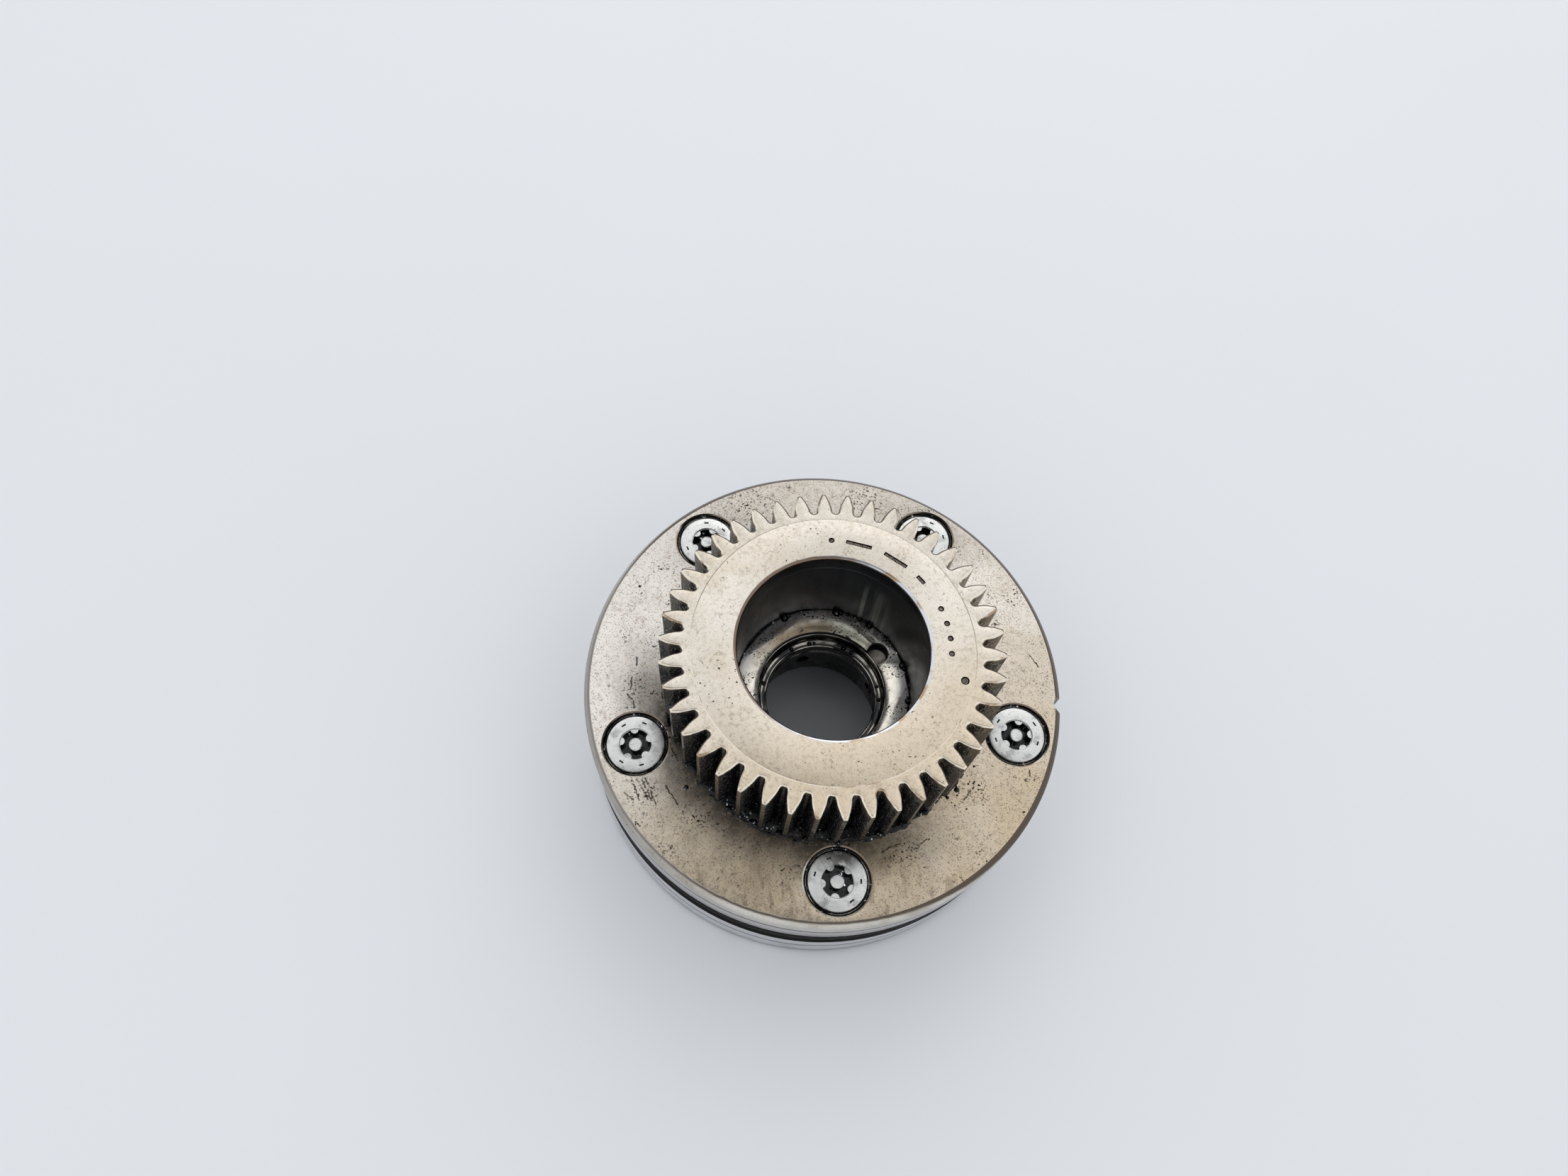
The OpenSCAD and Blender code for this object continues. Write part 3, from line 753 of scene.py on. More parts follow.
def zinc_flake():
    """Pale grey screw coating with small dark pores, darker on the inner side of the front screw, partly a
    stain and partly painted reflection.
    """
    m = Finish("zinc_flake", metallic=0.85)
    pale = (0.77, 0.77, 0.74)
    grey = (0.46, 0.46, 0.44)
    darkened = (0.08, 0.072, 0.06)
    dark = (0.03, 0.028, 0.025)
    tone = m.mix(m.patches(1.8, 4, 0.50, 0.72), pale, grey)
    # Darker on the inner side of the front screw: partly a stain, partly painted reflection
    stain_and_painted_reflection = m.both(m.near(0.6, -30.8, 1.4, 4.2), m.patches(1.5, 3, 0.22, 0.5))
    tone = m.mix(m.both(stain_and_painted_reflection, 0.8), tone, darkened)
    pores = m.both(m.patches(0.3, 2, 0.62, 0.72), m.uneven(2.5, 2, 0.2, 1.0))
    m.set("Base Color", m.mix(pores, tone, dark))
    m.set("Roughness", m.uneven(0.8, 3, 0.32, 0.5))
    m.grain(m.noise(0.3, 3), 0.5, 0.04)
    return m.material


def rotor_steel():
    """Sintered rotor: grey face, specked beside the pilot with a painted highlight in pale cream towards the
    front and painted shade in tan and olive at the back, with black wet walls inside.
    """
    m = Finish("rotor_steel")
    painted_highlight_cream = (0.98, 0.91, 0.79)
    tan = (0.25, 0.195, 0.135)
    painted_shade_olive = (0.52, 0.52, 0.41)
    grey = (0.46, 0.445, 0.42)
    rust = (0.24, 0.15, 0.09)
    dirt = (0.02, 0.017, 0.014)
    notch_floor = (0.17, 0.15, 0.13)
    # Painted highlight in cream towards the front, painted shade in tan at the back and in olive at the back
    # right
    inner = m.mix(m.side(95, 2, 12), painted_highlight_cream, tan)
    x, y, _ = polar(14, math.radians(62), 0)
    inner = m.mix(m.near(x, y, 1.5, 6), inner, painted_shade_olive)
    out = m.ragged(m.radius(), 2.0, 2.5, 3)
    tone = m.mix(m.steps(out, PILOT_R + 1.6, PILOT_R + 4.6), inner, grey)
    tone = m.mix(m.both(m.patches(2.5, 4, 0.56, 0.72), 0.5), tone, rust)
    tone = m.mix(m.both(m.patches(0.4, 2, 0.54, 0.62), m.patches(3, 2, 0.40, 0.56)), tone, dirt)
    x, y, _ = polar(DOWEL_CIRCLE_R, DOWEL_ANGLE, 0)
    in_notch = m.both(m.near(x, y, 1.75, 1.95), m.below(ROTOR_TOP - 0.3, ROTOR_TOP - 0.1))
    tone = m.mix(in_notch, tone, notch_floor)
    dry = m.either(in_notch, m.above(ROTOR_TOP - 0.75, ROTOR_TOP - 0.5))
    m.set("Base Color", m.mix(dry, WET_BLACK, tone))
    m.set("Metallic", dry)
    m.set("Roughness", m.uneven(1.5, 3, 0.14, 0.34))
    m.grain(m.noise(0.6, 3), 0.2, 0.03)
    return m.material


def inner_steel(name, base, dull, roughness):
    """Ground or drawn steel of the hidden pieces."""
    m = Finish(name)
    m.set("Base Color", m.mix(m.patches(3, 3, 0.4, 0.7), base, dull))
    m.set("Roughness", m.uneven(1.5, 3, roughness - 0.06, roughness + 0.08))
    m.grain(m.noise(0.4, 2), 0.12, 0.02)
    return m.material


def seat_plastic():
    """Natural moulded plastic of the spring seat."""
    m = Finish("seat_plastic", metallic=0.0)
    m.set("Base Color", m.mix(m.noise(2, 3), (0.70, 0.66, 0.54), (0.60, 0.55, 0.43)))
    m.set("Roughness", m.uneven(1, 3, 0.42, 0.58))
    m.grain(m.noise(0.3, 2), 0.1, 0.02)
    return m.material


LOOKS = {
    "face": tempered_steel(),
    # Edge finishes: a painted highlight where an edge faces one way, painted shade where it faces the other
    "edge": worn_edge("worn_edge", -100, (0.90, 0.81, 0.67), (0.10, 0.085, 0.07)),
    "lip": worn_edge("worn_lip", 65, (0.92, 0.88, 0.80), (0.22, 0.17, 0.13)),
    "chamfer": worn_edge("bronzed_edge", 155, (0.72, 0.73, 0.76), (0.22, 0.16, 0.12)),
    "wet_steel": wet_steel(),
    "flank": oily_flank(),
    "bore": bore_wall(),
    "oil": engine_oil(),
    "groove": matt_oil(),
    "rim": turned_rim(),
    "stator": stator_steel(),
    "rear": ground_steel(),
    "zinc": zinc_flake(),
    "rotor": rotor_steel(),
    "vane": inner_steel("vane_steel", (0.50, 0.51, 0.53), (0.36, 0.35, 0.34), 0.28),
    "spring": inner_steel("spring_steel", (0.45, 0.46, 0.50), (0.28, 0.28, 0.30), 0.22),
    "plastic": seat_plastic(),
}
COVER_LOOKS = ["face", "edge", "flank", "bore", "oil", "rim", "lip", "chamfer"]
FACE, EDGE, FLANK, BORE, OIL, RIM, LIP, CHAMFER = range(len(COVER_LOOKS))
# Looks of the screws and of the oil: a piece's plain outside, and its hollows or beads
PLAIN, WET = range(2)


def involute(angle):
    return math.tan(angle) - angle


def tooth_half_angle(r):
    """Half of the angle that a tooth takes up at a radius."""
    at_pitch = (math.pi * MODULE / 2 - BACKLASH) / 2 / PITCH_R
    return at_pitch + involute(PRESSURE) - involute(math.acos(min(1.0, BASE_R / r)))


def tooth_outline():
    """One tooth on +X, from the middle of a space to the middle of the next: rounded root, flank, tip."""
    half_pitch = math.pi / TEETH
    half_gap = half_pitch - tooth_half_angle(BASE_R)
    right = []
    for i in range(ROOT_STEPS):
        t = i / ROOT_STEPS
        right.append((BASE_R - (BASE_R - ROOT_R) * math.sqrt(1 - t * t), half_gap * t - half_pitch))
    for i in range(FLANK_STEPS + 1):
        r = BASE_R + (TIP_R - BASE_R) * i / FLANK_STEPS
        right.append((r, -tooth_half_angle(r)))
    left = [(r, -angle) for r, angle in reversed(right)]
    return [Vector(polar(r, angle, 0)[:2]) for r, angle in right + [(TIP_R, 0.0)] + left]


def offset_line(line, distance):
    """Moves a counterclockwise line outwards with mitred corners; its ends move along their radius."""
    sides = []
    for here, there in zip(line, line[1:]):
        run = (there - here).normalized()
        sides.append(Vector((run.y, -run.x)))
    moved = []
    for i, point in enumerate(line):
        if 0 < i < len(line) - 1:
            middle = (sides[i - 1] + sides[i]).normalized()
            moved.append(point + middle * distance / max(0.5, middle.dot(sides[i])))
        else:
            moved.append(point + point.normalized() * distance)
    return moved


def tooth_levels():
    """How far the outline is moved out at each height: foot fillet, straight flank, rounded top edge."""
    levels = []
    for degrees in (0, 30, 60, 90):
        t = math.radians(degrees)
        levels.append((FOOT_FILLET * (1 - math.sin(t)), FLANGE_Z + FOOT_FILLET * (1 - math.cos(t))))
    return levels + [(-inset, TOOTH_Z - drop) for inset, drop in TOOTH_EDGE]


def tooth_sector():
    """One tooth with its share of the toothed rim's top face, open where its neighbours join."""
    line = tooth_outline()
    half_pitch = math.pi / TEETH
    shell = Shell()
    rows = [shell.ring([(p.x, p.y, z) for p in offset_line(line, move)]) for move, z in tooth_levels()]
    for lower, upper in zip(rows, rows[1:]):
        shell.strip(lower, upper)
    turns = [half_pitch * (1 - 2 * i / ARC_STEPS) for i in range(ARC_STEPS + 1)]
    inner = shell.ring([polar(STEP_FOOT_R, turn, TOOTH_Z) for turn in turns])
    shell.fill(rows[-1] + inner)
    return shell.mesh("tooth_sector", [])


def foot_outline():
    """The outline of all the teeth where their fillets meet the flange."""
    move, z = tooth_levels()[0]
    line = offset_line(tooth_outline(), move)[:-1]
    points = []
    for k in range(TEETH):
        turned = Matrix.Rotation(FIRST_TOOTH + 2 * math.pi * k / TEETH, 2)
        points += [(*(turned @ point), z) for point in line]
    return points


def new_tree(name, inputs):
    """A Geometry Nodes tree with named inputs; returns its nodes and the sockets that give the inputs."""
    tree = bpy.data.node_groups.new(name, "GeometryNodeTree")
    tree.interface.new_socket("Geometry", in_out="INPUT", socket_type="NodeSocketGeometry")
    for label, kind in inputs:
        tree.interface.new_socket(label, in_out="INPUT", socket_type=kind)
    tree.interface.new_socket("Geometry", in_out="OUTPUT", socket_type="NodeSocketGeometry")
    nodes = Nodes(tree)
    return nodes, nodes.add("NodeGroupInput").outputs


def grown(name, mesh, nodes, values):
    """Runs a tree on a mesh and returns an object with the plain mesh that it gives."""
    obj = new_object(name, mesh)
    modifier = obj.modifiers.new(name, "NODES")
    modifier.node_group = nodes.tree
    for item in nodes.tree.interface.items_tree:
        if item.in_out == "INPUT" and item.name in values:
            modifier[item.identifier] = values[item.name]
    return worked_out(obj, modifier)


def set_finishes(nodes, solid, finishes):
    """Gives each selected part of a solid its finish, and returns the tree's last geometry."""
    for part, finish in finishes:
        inputs = {"Geometry": solid, "Selection": part, "Material": finish}
        solid = nodes.add("GeometryNodeSetMaterial", inputs).outputs[0]
    return solid


def copies_on_points(nodes, points, piece, **turn_or_scale):
    """Sets a copy of a piece on each point and makes one mesh of them."""
    inputs = {"Points": points, "Instance": piece, **turn_or_scale}
    copies = nodes.add("GeometryNodeInstanceOnPoints", inputs).outputs[0]
    return nodes.add("GeometryNodeRealizeInstances", {0: copies}).outputs[0]


def about_axis(nodes, angle):
    return nodes.add("ShaderNodeCombineXYZ", {2: angle}).outputs[0]


def upright_share(nodes, kind):
    """The Z value of a place or a normal."""
    return nodes.add("ShaderNodeSeparateXYZ", {0: nodes.add(kind).outputs[0]}).outputs[2]


def tooth_ring_tree():
    """Turns copies of one tooth about the axis, welds them, and gives face, edge and flank their finishes."""
    nodes, given = new_tree("tooth_ring", [
        ("Teeth", "NodeSocketInt"), ("First angle", "NodeSocketFloat"), ("Edge height", "NodeSocketFloat"),
        ("Face finish", "NodeSocketMaterial"), ("Edge finish", "NodeSocketMaterial"),
        ("Flank finish", "NodeSocketMaterial")])
    points = nodes.add("GeometryNodePoints", {"Count": given["Teeth"]}).outputs[0]
    index = nodes.add("GeometryNodeInputIndex").outputs[0]
    turn = nodes.maths("DIVIDE", nodes.both(index, 2 * math.pi), given["Teeth"])
    spin = about_axis(nodes, nodes.maths("ADD", turn, given["First angle"]))
    solid = copies_on_points(nodes, points, given["Geometry"], Rotation=spin)
    solid = nodes.add("GeometryNodeMergeByDistance", {"Geometry": solid, "Distance": WELD}).outputs[0]
    lean = upright_share(nodes, "GeometryNodeInputNormal")
    height = upright_share(nodes, "GeometryNodeInputPosition")
    above = nodes.maths("GREATER_THAN", height, given["Edge height"])
    on_edge = nodes.both(above, nodes.maths("GREATER_THAN", lean, 0.3))
    on_face = nodes.both(above, nodes.maths("GREATER_THAN", lean, 0.99))
    solid = set_finishes(nodes, solid, [
        (True, given["Flank finish"]), (on_edge, given["Edge finish"]), (on_face, given["Face finish"])])
    nodes.add("NodeGroupOutput", {0: solid})
    return nodes


def rim_points():
    """Angle and radius around the flange's rim, with the half-round notch; True marks the notch's points."""
    span = 2 * math.asin(NOTCH_R / 2 / BODY_R)
    points = []
    for i in range(2, RIM_STEPS - 1):
        angle = NOTCH_ANGLE + 2 * math.pi * i / RIM_STEPS
        points.append((angle, BODY_R, False))
    for i in range(NOTCH_STEPS + 1):
        t = math.radians(270) - span / 2 - (math.pi - span) * i / NOTCH_STEPS
        across = NOTCH_R * math.sin(t)
        out = BODY_R + NOTCH_R * math.cos(t)
        points.append((NOTCH_ANGLE + math.atan2(across, out), math.hypot(across, out), True))
    return points


def rim_ring(inset, z):
    return [polar(r if notch else r - inset, angle, z) for angle, r, notch in rim_points()]


def edge_ring(share):
    """A ring on the flange's rounded edge, from its foot on the rim or the notch (1) to the face (0)."""
    top_r = BODY_R - EDGE_ROUND
    points = []
    for angle, r, _ in rim_points():
        out = max(0.0, r - top_r) * share
        z = FLANGE_Z - EDGE_ROUND * (out / EDGE_ROUND) ** EDGE_CURVE
        points.append(polar(min(r, top_r) + out, angle, z))
    return points


def screw_centres():
    for k in range(SCREWS):
        yield polar(SCREW_CIRCLE_R, FIRST_SCREW + 2 * math.pi * k / SCREWS, 0)[:2]


def add_counterbore(shell, centre):
    """One screw hole; returns its upper and lower edge."""
    profile = [
        (COUNTERBORE_R + COUNTERBORE_BREAK, FLANGE_Z), (COUNTERBORE_R, FLANGE_Z - COUNTERBORE_BREAK),
        (COUNTERBORE_R, HEAD_SEAT), (SHANK_HOLE_R, HEAD_SEAT), (SHANK_HOLE_R, SPLIT_Z)]
    rows = shell.chain(circles(profile, 64, centre), [LIP, OIL, OIL, OIL])
    return rows[0], rows[-1]


def add_dot(shell, r, degrees, size):
    """A round punch mark; returns its edge."""
    centre = polar(r, math.radians(degrees), 0)[:2]
    profile = [(size - inset, FACE_Z - drop) for inset, drop in DOT_PROFILE]
    rows = shell.chain(circles(profile, 18, centre), [OIL, OIL])
    shell.fill(rows[-1], look=FLANK)
    return rows[0]


def add_dash(shell, start, end):
    """A straight stamped dash between two angles; returns its edge."""
    a = Vector(polar(MARK_R, math.radians(start), 0)[:2])
    b = Vector(polar(MARK_R, math.radians(end), 0)[:2])
    along = (b - a).normalized()
    across = Vector((-along.y, along.x))
    rows = []
    for inset, drop in DASH_PROFILE:
        side = across * (DASH_W / 2 - inset)
        first = a + along * inset
        last = b - along * inset
        corners = (first - side, last - side, last + side, first + side)
        rows.append([(p.x, p.y, FACE_Z - drop) for p in corners])
    rows = shell.chain(rows, [OIL, OIL])
    shell.fill(rows[-1], look=FLANK)
    return rows[0]


def add_marks(shell):
    """Stamped dots and dashes on the raised face; returns their edges."""
    edges = [add_dot(shell, MARK_R, degrees, DOT_R) for degrees in DOTS]
    edges += [add_dash(shell, start, end) for start, end in DASHES]
    edges.append(add_dot(shell, PUNCH_CIRCLE_R, PUNCH_ANGLE, PUNCH_R))
    return edges


def bore_profile():
    """The bore from its rounded lip down, with a fine turned line in its wall and a chamfer at its foot."""
    line_z = FACE_Z - BORE_LINE_DROP
    profile = []
    for degrees in (0, 18, 36, 54, 72, 90):
        t = math.radians(degrees)
        profile.append((BORE_R + BORE_LIP * (1 - math.sin(t)), FACE_Z - BORE_LIP * (1 - math.cos(t))))
    return profile + [
        (BORE_R, line_z), (BORE_R + BORE_LINE_DEPTH, line_z - BORE_LINE_W / 2),
        (BORE_R, line_z - BORE_LINE_W), (BORE_R, SPLIT_Z + BORE_FOOT_CHAMFER),
        (BORE_R + BORE_FOOT_CHAMFER, SPLIT_Z)]


def cover_body():
    """The front cover without its teeth: flange, rim, screw holes, raised face, marks and bore."""
    shell = Shell()
    edge = [edge_ring(share) for share in EDGE_SHARES]
    rim = [rim_ring(JOINT_CHAMFER, SPLIT_Z), rim_ring(0, SPLIT_Z + JOINT_CHAMFER)]
    rim = shell.chain(rim + edge, [OIL] + [RIM] * len(edge))
    holes = [add_counterbore(shell, centre) for centre in screw_centres()]
    foot = shell.ring(foot_outline())
    shell.fill(rim[-1], [foot] + [upper for upper, lower in holes], FACE)
    steps = TEETH * ARC_STEPS
    first = FIRST_TOOTH - math.pi / TEETH
    step = [(STEP_FOOT_R, TOOTH_Z), (FACE_R + 0.04, TOOTH_Z + 0.13), (FACE_R - 0.14, FACE_Z)]
    step = shell.chain(circles(step, steps, first=first), [EDGE, FACE])
    bore = shell.chain(circles(bore_profile(), steps, first=first), [CHAMFER] * 5 + [BORE] * 5)
    shell.fill(step[-1], [bore[0]] + add_marks(shell), FACE)
    centre = polar(SCREW_CIRCLE_R, LOCATOR_ANGLE, 0)[:2]
    locator = [(LOCATOR_R, SPLIT_Z + LOCATOR_DEPTH), (LOCATOR_R, SPLIT_Z)]
    locator = shell.chain(circles(locator, 32, centre), [OIL])
    shell.fill(locator[0], look=OIL, up=False)
    shell.fill(rim[0], [bore[-1], locator[1]] + [lower for upper, lower in holes], RIM, up=False)
    return shell.mesh("gear_cover_body", [LOOKS[look] for look in COVER_LOOKS])


def gear_cover():
    """The front cover with its drive gear, in one closed mesh."""
    teeth = grown("gear_teeth", tooth_sector(), tooth_ring_tree(), {
        "Teeth": TEETH, "First angle": FIRST_TOOTH, "Edge height": (TOOTH_Z - 1) * MM,
        "Face finish": LOOKS["face"], "Edge finish": LOOKS["edge"], "Flank finish": LOOKS["flank"]})
    cover = joined(new_object("front_cover_with_gear", cover_body()), teeth)
    return settle(cover)


def thread_ring(z):
    """A ring of the screw thread: its radius swings once a turn between crest and root."""
    points = []
    for x, y, _ in circle(1.0, z, SHANK_STEPS):
        phase = (z / THREAD_PITCH - math.atan2(y, x) / (2 * math.pi)) % 1
        run_out = min(1.0, (THREAD_TOP - z) / THREAD_PITCH)
        r = SHANK_R - THREAD_DEPTH * (1 - abs(2 * phase - 1)) * run_out
        points.append((x * r, y * r, z))
    return points


def socket_radius(angle):
    """Outline of the five-lobed socket: a circle with five round ribs standing in it."""
    turn = (angle + math.pi / 5) % (2 * math.pi / 5) - math.pi / 5
    if abs(turn) > 2 * math.asin(RIB_R / 2 / SOCKET_R):
        return SOCKET_R
    return SOCKET_R * math.cos(turn) - math.sqrt(RIB_R ** 2 - (SOCKET_R * math.sin(turn)) ** 2)


def socket_loop(grow, z):
    points = []
    for x, y, _ in circle(1.0, z, 180):
        r = socket_radius(math.atan2(y, x)) + grow
        points.append((x * r, y * r, z))
    return points


def add_tick(shell, degrees):
    """A short dash pressed into the screw's head; returns its edge."""
    turn = Matrix.Rotation(math.radians(degrees), 2)
    rows = []
    for half_l, half_w, drop in TICK_PROFILE:
        corners = ((-half_w, -half_l), (half_w, -half_l), (half_w, half_l), (-half_w, half_l))
        turned = [turn @ Vector((TICK_R + x, y)) for x, y in corners]
        rows.append([(p.x, p.y, HEAD_TOP - drop) for p in turned])
    rows = shell.chain(rows, [WET])
    shell.fill(rows[-1], look=WET)
    return rows[0]


def add_shank(shell):
    """The screw's threaded shank; returns its edge under the head."""
    foot = SHANK_END + SHANK_POINT
    count = round((THREAD_TOP - SHANK_END) / THREAD_PITCH * RINGS_PER_TURN)
    thread = [thread_ring(foot + (THREAD_TOP - foot) * i / count) for i in range(count + 1)]
    point = circle(SHANK_POINT_R, SHANK_END, SHANK_STEPS)
    neck = circle(SHANK_R, HEAD_SEAT, SHANK_STEPS)
    rows = shell.chain([point, *thread, neck], [PLAIN] * (len(thread) + 1))
    shell.fill(rows[0], up=False)
    return rows[-1]


def add_socket(shell):
    """The screw's socket with its round mouth and the guard pin in it; returns the mouth's edge."""
    floor_z = HEAD_TOP - SOCKET_DEPTH
    pad_z = HEAD_TOP - SOCKET_MOUTH_DEPTH
    pin_top = HEAD_TOP - GUARD_PIN_DROP
    mouth = [(SOCKET_MOUTH_R + 0.08, HEAD_TOP), (SOCKET_MOUTH_R, HEAD_TOP - 0.08), (SOCKET_MOUTH_R, pad_z)]
    mouth = shell.chain(circles(mouth, 90), [PLAIN, WET])
    lobes = [socket_loop(0.05, pad_z), socket_loop(0.0, pad_z - 0.06), socket_loop(0.0, floor_z)]
    lobes = shell.chain(lobes, [PLAIN, WET])
    shell.fill(mouth[-1], [lobes[0]])
    pin = [(GUARD_PIN_R, floor_z), (GUARD_PIN_R, pin_top - 0.15), (GUARD_PIN_R - 0.18, pin_top)]
    pin = shell.chain(circles(pin, 32), [WET, PLAIN])
    shell.fill(lobes[-1], [pin[0]], look=WET)
    shell.fill(pin[-1])
    return mouth[0]


def screw_mesh():
    """One cover screw on the axis: threaded shank, low head, five-lobed socket with a guard pin."""
    shell = Shell()
    neck = add_shank(shell)
    profile = [
        (HEAD_R, HEAD_SEAT), (HEAD_R, HEAD_TOP - 0.4), (HEAD_R - 0.12, HEAD_TOP - 0.12),
        (HEAD_R - 0.4, HEAD_TOP)]
    head = shell.chain(circles(profile, HEAD_STEPS), [PLAIN] * 3)
    shell.fill(head[0], [neck], up=False)
    mouth = add_socket(shell)
    shell.fill(head[-1], [mouth] + [add_tick(shell, degrees) for degrees in TICKS])
    return shell.mesh("screw", [LOOKS["zinc"], LOOKS["oil"]])


def ring_of_copies_tree():
    """Sets copies of a piece on a circle about the axis, each spun by its own amount."""
    nodes, given = new_tree("ring_of_copies", [
        ("Count", "NodeSocketInt"), ("Circle radius", "NodeSocketFloat"), ("First angle", "NodeSocketFloat"),
        ("First spin", "NodeSocketFloat"), ("Spin step", "NodeSocketFloat"), ("Finish", "NodeSocketMaterial"),
        ("Hollow finish", "NodeSocketMaterial")])
    ring = {"Vertices": given["Count"], "Radius": given["Circle radius"]}
    points = nodes.add("GeometryNodeMeshCircle", ring).outputs[0]
    turn = about_axis(nodes, given["First angle"])
    points = nodes.add("GeometryNodeTransform", {"Geometry": points, "Rotation": turn}).outputs[0]
    index = nodes.add("GeometryNodeInputIndex").outputs[0]
    spin = nodes.maths("ADD", nodes.both(index, given["Spin step"]), given["First spin"])
    solid = copies_on_points(nodes, points, given["Geometry"], Rotation=about_axis(nodes, spin))
    hollow = nodes.maths("GREATER_THAN", nodes.add("GeometryNodeInputMaterialIndex").outputs[0], 0.5)
    outside = nodes.maths("SUBTRACT", 1, hollow)
    solid = set_finishes(nodes, solid, [(outside, given["Finish"]), (hollow, given["Hollow finish"])])
    nodes.add("NodeGroupOutput", {0: solid})
    return nodes


def at_screws(name, mesh, first_spin, spin_step, finish, hollow_finish):
    """Copies of a piece at the five screws, in one object."""
    return settle(grown(name, mesh, ring_of_copies_tree(), {
        "Count": SCREWS, "Circle radius": SCREW_CIRCLE_R * MM, "First angle": FIRST_SCREW,
        "First spin": first_spin, "Spin step": spin_step, "Finish": finish, "Hollow finish": hollow_finish}))


def merged_copy(node, name, look):
    """A copy of a frame node with its triangles joined to whole faces."""
    mesh = frame["nodes"][node].data.copy()
    mesh.attributes.remove(mesh.attributes["custom_normal"])
    weld(mesh, flat=0.4)
    mesh.materials.clear()
    mesh.materials.append(look)
    return new_object(name, mesh)


def softened_copy(node, name, look):
    """A copy of a frame node with its edges broken by a fine bevel."""
    obj = merged_copy(node, name, look)
    bevel = obj.modifiers.new("edge_break", "BEVEL")
    bevel.width = EDGE_BREAK * MM
    bevel.segments = 2
    bevel.limit_method = "ANGLE"
    bevel.angle_limit = math.radians(35)
    return settle(worked_out(obj, bevel))


def add_bead(shell, r, z, size, steps):
    """A round bead of oil along a circle about the axis, in the finish with painted highlights."""
    turns = [math.radians(45 * i) for i in range(8)]
    profile = [(r + size * math.cos(t), z + size * math.sin(t)) for t in turns]
    shell.hoop(circles(profile, steps), WET)


def add_drop(shell, centre, size, height):
    """A flattened drop that stands on its widest ring; size is its radius."""
    profile = []
    for degrees in (0, 25, 50, 72):
        t = math.radians(degrees)
        profile.append((size * math.cos(t), centre[2] + size * height * math.sin(t)))
    rows = shell.chain(circles(profile, 16, centre[:2]), [PLAIN] * 3)
    shell.fill(rows[-1])
    shell.fill(rows[0], up=False)


def oil_ring_mesh():
    """Oil between a screw's head and its counterbore, hollow on top, with a thin bead in it that carries a
    painted highlight.
    """
    shell = Shell()
    foot = HEAD_SEAT + 0.8
    outer = COUNTERBORE_R - 0.01
    inner = HEAD_R + 0.01
    profile = [
        (outer, foot), (outer, HEAD_TOP - 0.25), (COUNTERBORE_R - 0.14, HEAD_TOP - 0.5),
        (COUNTERBORE_R - 0.32, HEAD_TOP - 0.6), (HEAD_R + 0.16, HEAD_TOP - 0.52), (inner, HEAD_TOP - 0.36),
        (inner, foot)]
    shell.hoop(circles(profile, HEAD_STEPS))
    add_bead(shell, HEAD_R + 0.27, HEAD_TOP - 0.54, 0.06, HEAD_STEPS)
    return shell.mesh("oil_ring", [LOOKS["oil"], LOOKS["wet_steel"]])


def wavy(turn):
    """Uneven width of a line of oil around the axis, about 1 on average."""
    return 1 + 0.4 * math.sin(3 * turn + 1) + 0.3 * math.sin(11 * turn) + 0.2 * math.sin(23 * turn)


def bore_oil_mesh():
    """A line of oil in the corner between the bore and the rotor's face, with drops along it."""
    shell = Shell()
    steps = 240
    turns = [2 * math.pi * i / steps for i in range(steps)]
    rings = []
    for lift, inset in BORE_FILM:
        rings.append([polar(BORE_R - inset * wavy(t), t, SPLIT_Z + 0.02 + lift * wavy(t)) for t in turns])
    shell.hoop(rings)
    for degrees, size in BORE_DROPS:
        add_drop(shell, polar(BORE_R - 0.4 * size, math.radians(degrees), SPLIT_Z + 0.03), size, 0.9)
    return shell.mesh("bore_oil", [LOOKS["oil"]])


def pilot_oil_mesh():
    """Oil in the corner above the rotor's land, beads of it on edges, and drops on the land; the corner and
    the beads carry painted highlights.
    """
    shell = Shell()
    steps = 120
    corner_r = PILOT_R - 0.01
    corner_z = LAND_TOP + 0.01
    corner_w = 0.8
    corner_h = 1.0
    profile = []
    for degrees in (0, 18, 36, 54, 72, 90):
        t = math.radians(degrees)
        profile.append((corner_r - corner_w * (1 - math.cos(t)), corner_z + corner_h * (1 - math.sin(t))))
    shell.hoop(circles(profile + [(corner_r, corner_z)], steps), WET)
    for r, z, size in PILOT_BEADS:
        add_bead(shell, r, z, size, steps)
    for degrees, size in LAND_DROPS:
        add_drop(shell, polar(LAND_R + 0.75, math.radians(degrees), corner_z), size, 0.8)
    return shell.mesh("pilot_oil", [LOOKS["oil"], LOOKS["wet_steel"]])


def film_reach(turn):
    """How far the oil at the gear's foot spreads: tongues of several sizes that run out at both ends."""
    share = (turn - FILM_START) / (FILM_END - FILM_START)
    tongues = 0.22 * math.sin(9 * turn + 0.6) + 0.2 * math.sin(31 * turn) + 0.1 * math.sin(77 * turn + 1.2)
    return TIP_R - 0.9 + max(0.0, 1.0 + tongues) * min(1.0, 4 * share, 4 * (1 - share))


